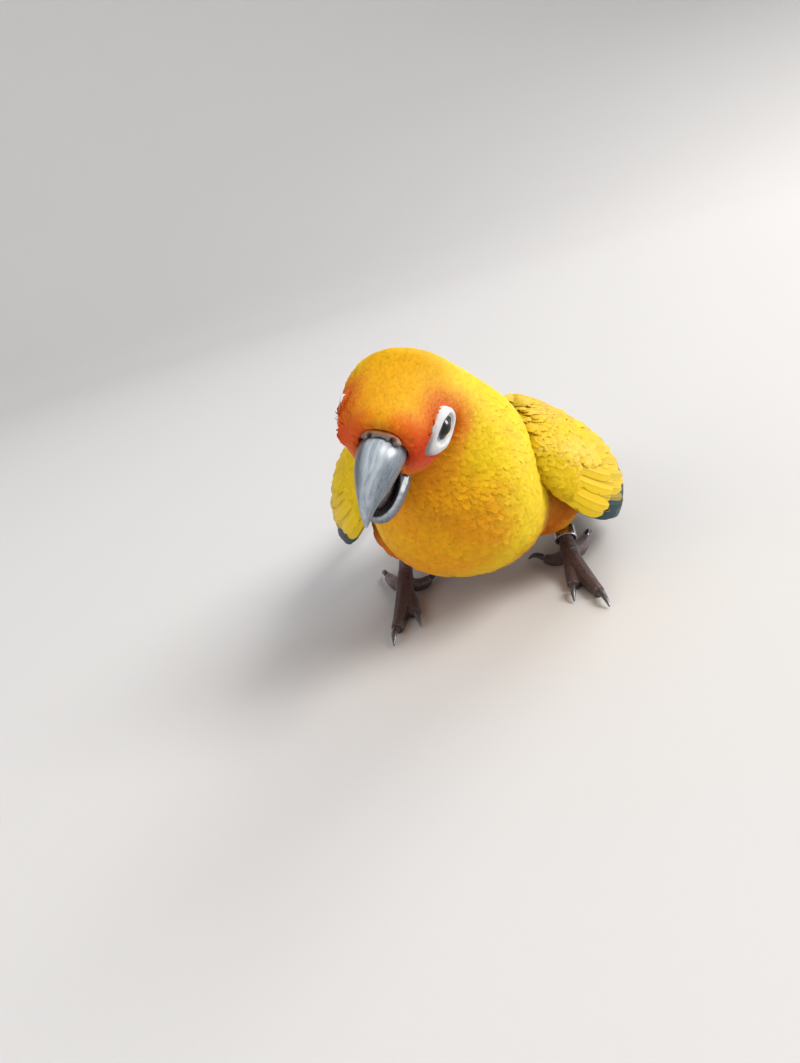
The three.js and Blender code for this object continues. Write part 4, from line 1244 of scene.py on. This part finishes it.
# Rows of tail coverts: how far across, where they start and end, their number, half width, and heights at
# root and tip.
TAIL_COVERTS = (
    (6.5, 0.02, 0.28, 9, 2.6, (6.6, 7.4)),
    (5.6, -0.03, 0.21, 8, 2.6, (7.4, 8.4)),
    (4.6, -0.06, 0.14, 7, 2.6, (7.6, 9.0)),
    (5.6, 0.0, 0.25, 8, 2.7, (0.6, -0.7)),
    (4.8, -0.05, 0.17, 7, 2.7, (-0.4, -1.6)),
)
covert_vanes = []
share = rows_along(8, TAIL_COVERT_TIP)
for row, (across, start, end, count, wide, heights) in enumerate(TAIL_COVERTS):
    for number in range(count):
        x = across * (2 * number / (count - 1) - 1)
        end_here = end - 0.03 * abs(x / across) - 0.015 * tail_random.random()
        droop = -0.05 * x**2 * (1 if heights[0] > 1 else -0.6)
        covert_vanes.append(vane(
            on_tail,
            share,
            (start, end_here),
            x * (1 + 0.1 * share),
            wide,
            heights[0] + (heights[1] - heights[0]) * share + droop + 0.2 * (number % 2),
            0.0,
            0.0,
            tail_random,
            thick=0.24,
            tip=TAIL_COVERT_TIP,
        ))
        covert_vanes[-1]["row"] = row


def tail_covert_colour(number, one):
    """Gold over the tail and orange under it, with green tips, most on the longest row."""
    share = one["share"]
    colour = all_over((GOLD if one["row"] < 3 else ORANGE) * 0.9, share)
    tips = 0.75 if one["row"] == 0 else 0.3
    return blended(colour, TAIL_OLIVE, tips * smooth(share, 0.45, 1.0))


tail_coverts = feather_piece("tail_coverts", covert_vanes, tail_covert_colour)
dress(tail_coverts, tail_finish, "plumage_tail", "tail")

# The bill, open and hooked. Both halves are slate horn laid down in fine streaks that run to the tip, paler
# at the lower one's worn edge. The upper is paler along the ridge, partly its own horn and partly a painted
# highlight, and darker on its right side and on the faces turned into the mouth, which is painted shade. The
# upper is the solid's shape with its faces divided.
BILL_ROOT, BILL_ROLL = (0, -17, 0), math.radians(3.5)
UPPER_CURL, LOWER_CURL = (-14.0, -12.0), (-8.0, -4.0)  # what each half curves about, seen from the side
HORN_SHADE = paint("262b33")
HORN = paint("66727f")
HORN_PALE = paint("c3ccd3")
SHARP_HORN = 50
bill_turn = np.array(Matrix.Rotation(BILL_ROLL, 3, "Y"))


def to_bill(points):
    """Points of the model in the bill's frame, in millimetres."""
    return (to_head(points) - BILL_ROOT) @ bill_turn + BILL_ROOT


def finer(node, name, levels):
    """A solid's shape with its triangles joined in pairs and then divided smoothly."""
    piece = copy_of((node,), name)
    pick(piece)
    bpy.ops.object.mode_set(mode="EDIT")
    bpy.ops.mesh.select_all(action="SELECT")
    bpy.ops.mesh.tris_convert_to_quads(face_threshold=math.radians(50), shape_threshold=math.radians(60))
    bpy.ops.object.mode_set(mode="OBJECT")
    modified(piece, "SUBSURF", levels=levels)
    smooth_faces(piece, SHARP_HORN)
    return piece


def rounded(node, name, voxel, rounds):
    """A solid's shape made again in small even faces and smoothed."""
    piece = copy_of((node,), name)
    modified(piece, "REMESH", mode="VOXEL", voxel_size=voxel * MM)
    modified(piece, "SMOOTH", factor=0.5, iterations=rounds)
    smooth_faces(piece)
    return piece


def store_growth(piece, places):
    """Stores where each point is in the direction that the horn grows."""
    stored = piece.data.attributes.new("growth", "FLOAT_VECTOR", "POINT")
    stored.data.foreach_set("vector", np.asarray(places, np.float32).ravel())


def horn_finish(name, roughness, coat, streaks):
    """Horn: the marking's colour under dark and pale streaks along its growth."""
    finish = Finish(name, Coat_Weight=coat, Coat_Roughness=0.25, Specular_IOR_Level=0.5)
    grain = finish.node("Attribute", {"attribute_name": "growth"}, output="Vector")
    streak = finish.noise(grain, streaks, 4.0, 0.6)
    fine = finish.noise(grain, streaks * 3.5, 3.0, 0.6)
    dark = finish.node("MapRange", {}, {"Value": streak, "From Min": 0.42, "From Max": 0.62})
    pale = finish.node("MapRange", {}, {"Value": fine, "From Min": 0.5, "From Max": 0.75})
    shade = finish.mixed(dark * 0.6, finish.stored_colour(), (0.36, 0.4, 0.46), "MULTIPLY")
    finish.feed(Base_Color=finish.mixed(pale * 0.3, shade, HORN_PALE))
    finish.feed(Roughness=fine * 0.25 + (roughness - 0.1))
    finish.bump(streak + fine * 0.6, 0.4, 0.12 * MM)
    return finish


def bill_growth(place, curl):
    """Across, out from the middle of the curve, and round it towards the tip."""
    y, z = place[:, 1] - curl[0], place[:, 2] - curl[1]
    return np.column_stack((place[:, 0], np.hypot(y, z), 1.1 * np.arctan2(z, -y)))


bill_finish = horn_finish("bill_horn", 0.36, 0.35, 1.1)
upper = finer("bill_upper", "upper_bill", 3)
upper_points, upper_normals = points_of(upper)
place = to_bill(upper_points)
growth = bill_growth(place, UPPER_CURL)
store_growth(upper, growth)
radial = place - np.column_stack((place[:, 0], np.full((len(place), 2), UPPER_CURL)))
facing = np.sum(unit(radial) * unit(upper_normals @ HEAD_AXES), axis=1)
ridge_pale_and_highlight = smooth(facing, 0.55, 0.98)
inner_face_shade = smooth(-facing, -0.1, 0.5)
tip = smooth(-growth[:, 2], 0.0, 0.9)
colour = all_over(HORN, place)
# The ridge is paler: partly its own paler horn, partly a painted highlight along the top.
colour = blended(colour, HORN_PALE, 0.75 * ridge_pale_and_highlight * (1 - 0.6 * tip))
# Painted shade: the upper bill's right side, away from the light, and its faces turned into the mouth are
# darkened.
colour = blended(colour, HORN_SHADE, 0.8 * smooth(-place[:, 0], 1.4, 4.0) * (1 - ridge_pale_and_highlight))
colour = blended(colour, HORN_SHADE, 0.75 * inner_face_shade)
colour_points(upper, colour)
dress(upper, bill_finish, "bill", "bill_upper")

# The lower half, made again in small even faces, with the dark of the mouth inside its rim.
MOUTH_RADII = np.array((4.5, 8.4, 4.2))
mouth_turn = np.array(Matrix.Rotation(math.radians(32), 3, "X"))
lower_finish = horn_finish("lower_bill_horn", 0.4, 0.3, 1.1)
lower = rounded("bill_lower", "lower_bill", 0.28, 5)
place = to_bill(points_of(lower)[0])
store_growth(lower, bill_growth(place, LOWER_CURL))
inside = np.linalg.norm((place - MOUTH_AT) @ mouth_turn / MOUTH_RADII, axis=1)
colour = all_over(HORN * 0.9, place)
rim = (1 - smooth(inside, 1.04, 1.35)) * smooth(place[:, 2], -19.0, -15.0)
colour = blended(colour, HORN_PALE, 0.7 * rim)
colour = blended(colour, MOUTH_BLACK, 1 - smooth(inside, 0.99, 1.06))
colour_points(lower, colour)
dress(lower, lower_finish, "bill", "bill_lower")

# The cere over the root of the bill: soft grey-brown skin with two nostrils pushed into it, painted dark as
# shade inside them, and its back edge painted with the coat's colour darkened as shade under the feathers.
NOSTRILS = np.array(((2.7, -18.0, 5.6), (-2.7, -18.0, 5.6)))
CERE_BROWN, NOSTRIL_SHADE = paint("6b5f58"), paint("1d1614")
cere = rounded("cere", "cere_skin", 0.22, 7)
cere_points, cere_normals = points_of(cere)
hole = np.min(np.linalg.norm(to_bill(cere_points)[:, None] - NOSTRILS[None], axis=2), axis=1)
dent = 1 - smooth(hole, 0.25, 0.85)
swell = smooth(hole, 0.6, 1.0) * (1 - smooth(hole, 1.0, 1.8))
set_points(cere, cere_points + cere_normals * (0.15 * swell - 0.6 * dent)[:, None] * MM)
cere_colour = all_over(CERE_BROWN, hole)
# Painted shade: towards its back, where the forehead's feathers overhang it, the cere takes the coat's
# colour darkened.
cere_edge_shade = smooth(to_head(cere_points)[:, 1], -18.0, -16.9)
cere_colour = blended(cere_colour, marking(cere_points) * 0.45, 0.8 * cere_edge_shade)
# The nostrils are painted near black, as shade inside the openings that the shallow dents stand for.
colour_points(cere, blended(cere_colour, NOSTRIL_SHADE, 1 - smooth(hole, 0.3, 0.75)))
cere_finish = Finish("cere_skin", Roughness=0.55)
cere_grain = cere_finish.noise(cere_finish.here(), 1500.0)
cere_shade = cere_finish.mixed(cere_grain * 0.5, cere_finish.stored_colour(), (0.5, 0.42, 0.36), "MULTIPLY")
cere_finish.feed(Base_Color=cere_shade)
cere_finish.bump(cere_grain, 0.5, 0.12 * MM)
dress(cere, cere_finish, "bare_skin", "cere")

# The tongue, blunt, dark and moist, as far as the open bill shows it.
tongue = rounded("tongue", "moist_tongue", 0.25, 8)
tongue_finish = Finish("moist_tongue", Roughness=0.25, Coat_Weight=0.6, Coat_Roughness=0.1)
tongue_grain = tongue_finish.noise(tongue_finish.here(), 1800.0)
tongue_colour = tongue_finish.mixed(tongue_grain, (0.035, 0.022, 0.026), (0.075, 0.045, 0.05))
tongue_finish.feed(Base_Color=tongue_colour)
tongue_finish.bump(tongue_grain, 0.4, 0.15 * MM)
dress(tongue, tongue_finish, "tongue", "tongue")

# The eyes: wet dark balls with a brown iris and a slight bulge of the cornea over it. They look out and a
# little forward.
EYE_AT, EYE_RADIUS = np.array((10.4, -6.0, 2.6)), 3.4
EYE_AIM = math.radians(-14)
PUPIL, IRIS = 1.2, 2.2
PUPIL_BLACK, IRIS_BROWN, EYE_DARK = paint("020202"), paint("1a100b"), paint("11161b")
EYE_AROUND, EYE_DOWN = 48, 30


def eye_place(out, back, above, side):
    """Points of the head from places round the eye, in millimetres: out along its gaze, back and above."""
    c, s = math.cos(EYE_AIM), math.sin(EYE_AIM)
    points = np.stack(np.broadcast_arrays(out * c - back * s, out * s + back * c, above), -1) + EYE_AT
    return (points * (side, 1, 1)).reshape(-1, 3)


def eyeball(name, side):
    """A ball made of rows of points round its gaze."""
    down = np.linspace(0.03, math.pi - 0.03, EYE_DOWN)[:, None]
    turn = np.linspace(0, 2 * math.pi, EYE_AROUND, endpoint=False)[None]
    away = EYE_RADIUS * np.sin(down) + 0 * turn
    bulge = 1 + 0.04 * (1 - smooth(away, 0.6, 2.4)) * (np.cos(down) > 0)
    points = eye_place(EYE_RADIUS * np.cos(down) * bulge, away * np.cos(turn), away * np.sin(turn), side)
    points = from_head(points)
    piece = mesh_of(name, points, outward(points, closed_rows(EYE_AROUND, EYE_DOWN)))
    away = (away + 9 * (np.cos(down) < 0)).ravel()
    colour = all_over(IRIS_BROWN, points)
    colour = blended(colour, PUPIL_BLACK, 1 - smooth(away, PUPIL - 0.1, PUPIL + 0.1))
    colour_points(piece, blended(colour, EYE_DARK, smooth(away, IRIS - 0.3, IRIS + 0.1)))
    smooth_faces(piece)
    return piece


wet = {"Coat_Weight": 0.5, "Coat_Roughness": 0.02}
eye_finish = Finish("wet_eye", Roughness=0.25, Specular_IOR_Level=0.05, **wet)
eye_finish.feed(Base_Color=eye_finish.stored_colour())

# The bare skin round each eye, from the dark rim of the lids over low folds to the edge of the feathers,
# long and pointed towards the bill. It is made of rings of points from the opening to the patch's edge.
LID_ROWS = (  # distance from the eye's gaze, and height over the ball, in millimetres
    (2.55, -0.3),
    (2.57, 0.0),
    (2.63, 0.16),
    (2.76, 0.24),
    (2.92, 0.25),
    (3.05, 0.2),
)
PATCH_AROUND, PATCH_ROWS, PATCH_MARGIN = 160, 26, 1.14
PATCH_THICKNESS = 0.25 * MM
PATCH_WHITE, PATCH_GREY, PATCH_FRONT = paint("d9dadb"), paint("9aa1a9"), paint("6b6260")
LID_DARK = paint("20262d")


def edge_of_patch(turn, side):
    """The patch's edge in the head's side plane, as y and z."""
    c, s = math.cos(PATCH_TILT), math.sin(PATCH_TILT)
    point = 1 + 0.12 * smooth(-np.cos(turn), 0.5, 1.0)
    scale = PATCH_MARGIN * (1.0 if side > 0 else RIGHT_PATCH)
    u = PATCH_REACH[0] * np.cos(turn) * point * scale
    v = PATCH_REACH[1] * np.sin(turn) * (1 + 0.12 * np.cos(turn)) * scale
    return PATCH_CENTRE + np.column_stack((u * c - v * s, u * s + v * c))


def outline_reach(places, side):
    """How far out the head's surface is at places of its side plane, in millimetres, a little evened."""
    way = Vector(HEAD_AXES @ (-side, 0, 0))
    reach = []
    for y, z in places:
        start = Vector(from_head((side * 25, y, z)))
        hit = outline.ray_cast(start, way)[0] or outline.find_nearest(start + way * 0.014)[0]
        reach.append(abs(to_head(np.array(hit))[0]))
    return np.mean([np.roll(reach, shift) for shift in range(-4, 5)], axis=0)


def eye_patch(name, side):
    """The lids and the bare skin as a thin shell, which lies on the head's outline and dives at its edge."""
    turn = np.linspace(0, 2 * math.pi, PATCH_AROUND, endpoint=False)
    aim = turn + PATCH_TILT
    rings, shares = [], []
    for away, lift in LID_ROWS:
        ball = math.sqrt(EYE_RADIUS**2 - away**2)
        flat = away * (1 - 0.05 * abs(np.sin(aim)))
        rings.append(eye_place(ball + lift, flat * np.cos(aim), flat * np.sin(aim), 1))
        shares.append(np.full(PATCH_AROUND, 0.0 if away < 2.8 else 0.09))
    rim = rings[-1]
    edge = edge_of_patch(turn, side)
    edge = np.column_stack((outline_reach(edge, side), edge))
    for row in range(1, PATCH_ROWS + 1):
        q = row / PATCH_ROWS
        ring = rim + (edge - rim) * q
        reach = outline_reach(ring[:, 1:], side) - 0.1
        ring[:, 0] += (reach - ring[:, 0]) * smooth(q, 0.1, 0.55) - 0.8 * smooth(q, 0.92, 1.0)
        rings.append(ring)
        shares.append(np.full(PATCH_AROUND, 0.1 + 0.9 * q))
    points = np.concatenate(rings) * (side, 1, 1)
    share = np.concatenate(shares)
    piece = mesh_of(name, from_head(points), round_faces(PATCH_AROUND, len(rings))[:, ::side])
    front = smooth(EYE_AT[1] - points[:, 1], 3.6, 6.5) * smooth(share, 0.6, 0.95)
    colour = all_over(PATCH_WHITE, points)
    colour = blended(colour, PATCH_GREY, 0.7 * (1 - smooth(share, 0.1, 0.28)))
    colour = blended(colour, LID_DARK, 1 - smooth(share, 0.04, 0.1))
    colour = blended(colour, PATCH_FRONT, 0.8 * front)
    colour_points(piece, colour)
    map_points(piece, "vane", np.column_stack((np.tile(turn, len(rings)) * 2.0, share * 5.0)))
    modified(piece, "SOLIDIFY", thickness=PATCH_THICKNESS, offset=-1)
    smooth_faces(piece)
    return piece


patch_finish = Finish("bare_eye_skin", Roughness=0.6, Specular_IOR_Level=0.35)
folds = patch_finish.noise(patch_finish.node("UVMap", {"uv_map": "vane"}), 2.2, 3.0, 0.6)
grains = patch_finish.node("TexVoronoi", {}, {"Vector": patch_finish.here(), "Scale": 2200.0})
patch_shade = patch_finish.mixed(folds * 0.5, patch_finish.stored_colour(), (0.6, 0.58, 0.58), "MULTIPLY")
patch_finish.feed(Base_Color=patch_shade)
patch_finish.bump(folds + grains * 0.5, 0.5, 0.22 * MM)
for side, label in ((1, "left"), (-1, "right")):
    eye = eyeball("eyeball_" + label, side)
    dress(eye, eye_finish, "eye", "eye_" + label)
    patch = eye_patch("eye_patch_" + label, side)
    dress(patch, patch_finish, "bare_skin", "eye_skin_" + label)

# The feet: scaly, two toes forward and two back, paler up the shin and dark where they meet the ground. Each
# is the solid's shape made again in small faces, and dark grooves divide its scales.
FOOT_SKIN = paint("5b4744")
FOOT_PALE = paint("a58a93")
LEG_LINES = {  # from the root of the toes to the heel
    1: standing(((30.5, 1.5, 5.2), (29.3, 17.0, 15.5))),
    -1: standing(((-24.8, 1.5, 5.2), (-23.2, 17.0, 15.5))),
}
foot_finish = Finish("scaly_foot", Roughness=0.5, Specular_IOR_Level=0.4)
foot_place = foot_finish.here()
net = {"Vector": foot_place, "Scale": 780.0}
scales = foot_finish.node("TexVoronoi", {}, net)
creases = foot_finish.node("TexVoronoi", {"feature": "DISTANCE_TO_EDGE"}, net)
groove = foot_finish.node("MapRange", {}, {"Value": creases, "From Min": 0.0, "From Max": 0.14})
foot_grain = foot_finish.noise(foot_place, 500.0)
grooved = foot_finish.mixed((1 - groove) * 0.6, foot_finish.stored_colour(), (0.3, 0.24, 0.24), "MULTIPLY")
foot_shade = foot_finish.mixed(foot_grain * 0.5, grooved, (0.55, 0.45, 0.42), "MULTIPLY")
foot_finish.feed(Base_Color=foot_shade)
foot_finish.bump(groove + scales * 0.3, 0.6, 0.3 * MM)
for side, label in ((1, "left"), (-1, "right")):
    foot = rounded("foot_" + label, "scaly_foot_" + label, 0.36, 5)
    foot_points, _ = points_of(foot)
    toes, heel = LEG_LINES[side]
    share = (foot_points - toes) @ (heel - toes) / ((heel - toes) @ (heel - toes))
    colour = blended(all_over(FOOT_SKIN, share), FOOT_PALE, 0.75 * smooth(share, 0.15, 0.5))
    colour = blended(colour, FOOT_SKIN * 0.5, 0.6 * (1 - smooth(foot_points[:, 2], 0.0, 2.2 * MM)))
    colour_points(foot, colour)
    dress(foot, foot_finish, "foot_skin", "foot_" + label)

# The claws: curved dark horn, worn paler at the tips.
claw_finish = horn_finish("claw_horn", 0.3, 0.5, 0.9)
CLAWS = ("inner_front", "outer_front", "outer_back", "inner_back")
CLAW_DARK, CLAW_WORN = paint("1f1c1e"), paint("5a5052")
CLAW_STREAKS = (1500, 150, 1500)  # across, along and up, so that the streaks run along the claw
for label in ("left", "right"):
    for claw in CLAWS:
        node = "claw_" + label + "_" + claw
        piece = finer(node, "horn_" + node, 2)
        points, _ = points_of(piece)
        way = 1 if "front" in claw else -1
        along = way * (points[:, 1].mean() - points[:, 1])
        worn = 0.7 * smooth(along, -4 * MM, 5 * MM)
        colour_points(piece, blended(all_over(CLAW_DARK, points), CLAW_WORN, worn))
        store_growth(piece, (points * CLAW_STREAKS)[:, (0, 2, 1)])
        dress(piece, claw_finish, "claw", node)

# The ring round the left leg: a closed band of steel with rounded edges, a little worn.
RING_RADIUS, RING_WALL, RING_LENGTH, RING_SHARE = 2.98, 0.6, 4.4, 0.43
RING_AROUND, RING_CORNER = 72, 0.24


def ring_profile():
    """The band's section, as radius and height, with each corner rounded in four steps."""
    low = np.array((RING_RADIUS, -RING_LENGTH / 2)) + RING_CORNER
    high = np.array((RING_RADIUS + RING_WALL, RING_LENGTH / 2)) - RING_CORNER
    profile = []
    for quarter, centre in enumerate(((high[0], high[1]), (low[0], high[1]), low, (high[0], low[1]))):
        for step in range(5):
            angle = math.radians(90 * quarter + 22.5 * step)
            profile.append(np.array(centre) + RING_CORNER * np.array((math.cos(angle), math.sin(angle))))
    return np.array(profile)


toes, heel = LEG_LINES[1]
axis = unit(heel - toes)
sideways = unit(np.cross(axis, (0, 0, 1)))
third = np.cross(axis, sideways)
profile = ring_profile() * MM
turn = np.linspace(0, 2 * math.pi, RING_AROUND, endpoint=False)[:, None, None]
radius, height = profile[None, :, :1], profile[None, :, 1:]
ring_middle = toes + (heel - toes) * RING_SHARE
ring_points = ring_middle + radius * (np.cos(turn) * sideways + np.sin(turn) * third) + height * axis
around, step = np.divmod(np.arange(RING_AROUND * len(profile)), len(profile))
here, after = around * len(profile), (around + 1) % RING_AROUND * len(profile)
above = (step + 1) % len(profile)
ring_faces = np.stack((after + step, after + above, here + above, here + step), -1)
leg_ring = mesh_of("steel_ring", ring_points.reshape(-1, 3), ring_faces)
smooth_faces(leg_ring, SHARP_VANE)
ring_finish = Finish("worn_steel", Metallic=1.0)
ring_wear = ring_finish.noise(ring_finish.here(), 1400.0, 5.0, 0.7)
ring_finish.feed(Base_Color=ring_finish.mixed(ring_wear, (0.62, 0.63, 0.64), (0.36, 0.36, 0.37)))
ring_finish.feed(Roughness=ring_wear * 0.3 + 0.15)
ring_finish.bump(ring_wear, 0.15, 0.03 * MM)
dress(leg_ring, ring_finish, "ring", "leg_ring")

# The floor, a plain pale sweep that turns up far away on every side so that no edge shows, and the lights: a
# large soft one from the bird's left, one from behind, a weak one from the front on its right, a small one
# for the glint in its left eye, and a pale sky.
SWEEP = (
    (0.0, 0.0),
    (1.2, 0.0),
    (1.6, 0.02),
    (2.0, 0.12),
    (2.3, 0.32),
    (2.5, 0.62),
    (2.56, 1.0),
    (2.58, 1.7),
)
SWEEP_AROUND = 96
sweep_rows = between(SWEEP, np.linspace(0, len(SWEEP) - 1, 43))
sweep_turn = np.linspace(0, 2 * math.pi, SWEEP_AROUND, endpoint=False)
radius, height = np.maximum(sweep_rows[:, :1], 0.002), np.maximum(sweep_rows[:, 1:], 0)
sweep_places = (radius * np.cos(sweep_turn), radius * np.sin(sweep_turn), height)
sweep = np.stack(np.broadcast_arrays(*sweep_places), -1)
floor = mesh_of("floor", sweep.reshape(-1, 3), round_faces(SWEEP_AROUND, len(sweep_rows))[:, ::-1])
smooth_faces(floor)
floor_finish = Finish("pale_floor", Roughness=0.8)
floor_finish.feed(Base_Color=(0.62, 0.61, 0.6, 1))
floor.data.materials.append(floor_finish.material)

LIT_PLACE = Vector((0, 0, 0.04))


def soft_light(name, place, size, power, colour):
    """A square lamp that points at the bird, with its size in metres and its power in watts."""
    lamp = bpy.data.lights.new(name, "AREA")
    lamp.size = size
    lamp.energy = power
    lamp.color = colour
    light = new_object(name, lamp)
    light.location = place
    light.rotation_euler = (LIT_PLACE - Vector(place)).to_track_quat("-Z", "Y").to_euler()
    return light


soft_light("key_light", (1.5, -0.4, 1.5), 1.0, 37.0, (1.0, 0.97, 0.93))
soft_light("back_light", (0.9, 1.5, 1.3), 1.0, 18.0, (1.0, 0.98, 0.96))
soft_light("fill_light", (-1.3, -1.4, 0.9), 1.4, 10.0, (0.94, 0.97, 1.0))
glint_way = unit(np.array((0.97, 0.15, 0.12)))  # towards a light that is seen in the left eye
glint_place = tuple(from_head(EYE_AT) + glint_way * 0.7)
glint = soft_light("eye_light", glint_place, 0.3, 7.0, (1.0, 1.0, 1.0))
glint.visible_diffuse = False
world = bpy.data.worlds.new("studio")
world.use_nodes = True
sky = world.node_tree.nodes["Background"]
sky.inputs["Color"].default_value = (0.93, 0.95, 1.0, 1)
sky.inputs["Strength"].default_value = 0.55
bpy.context.scene.world = world
bpy.context.scene.view_settings.view_transform = "Standard"
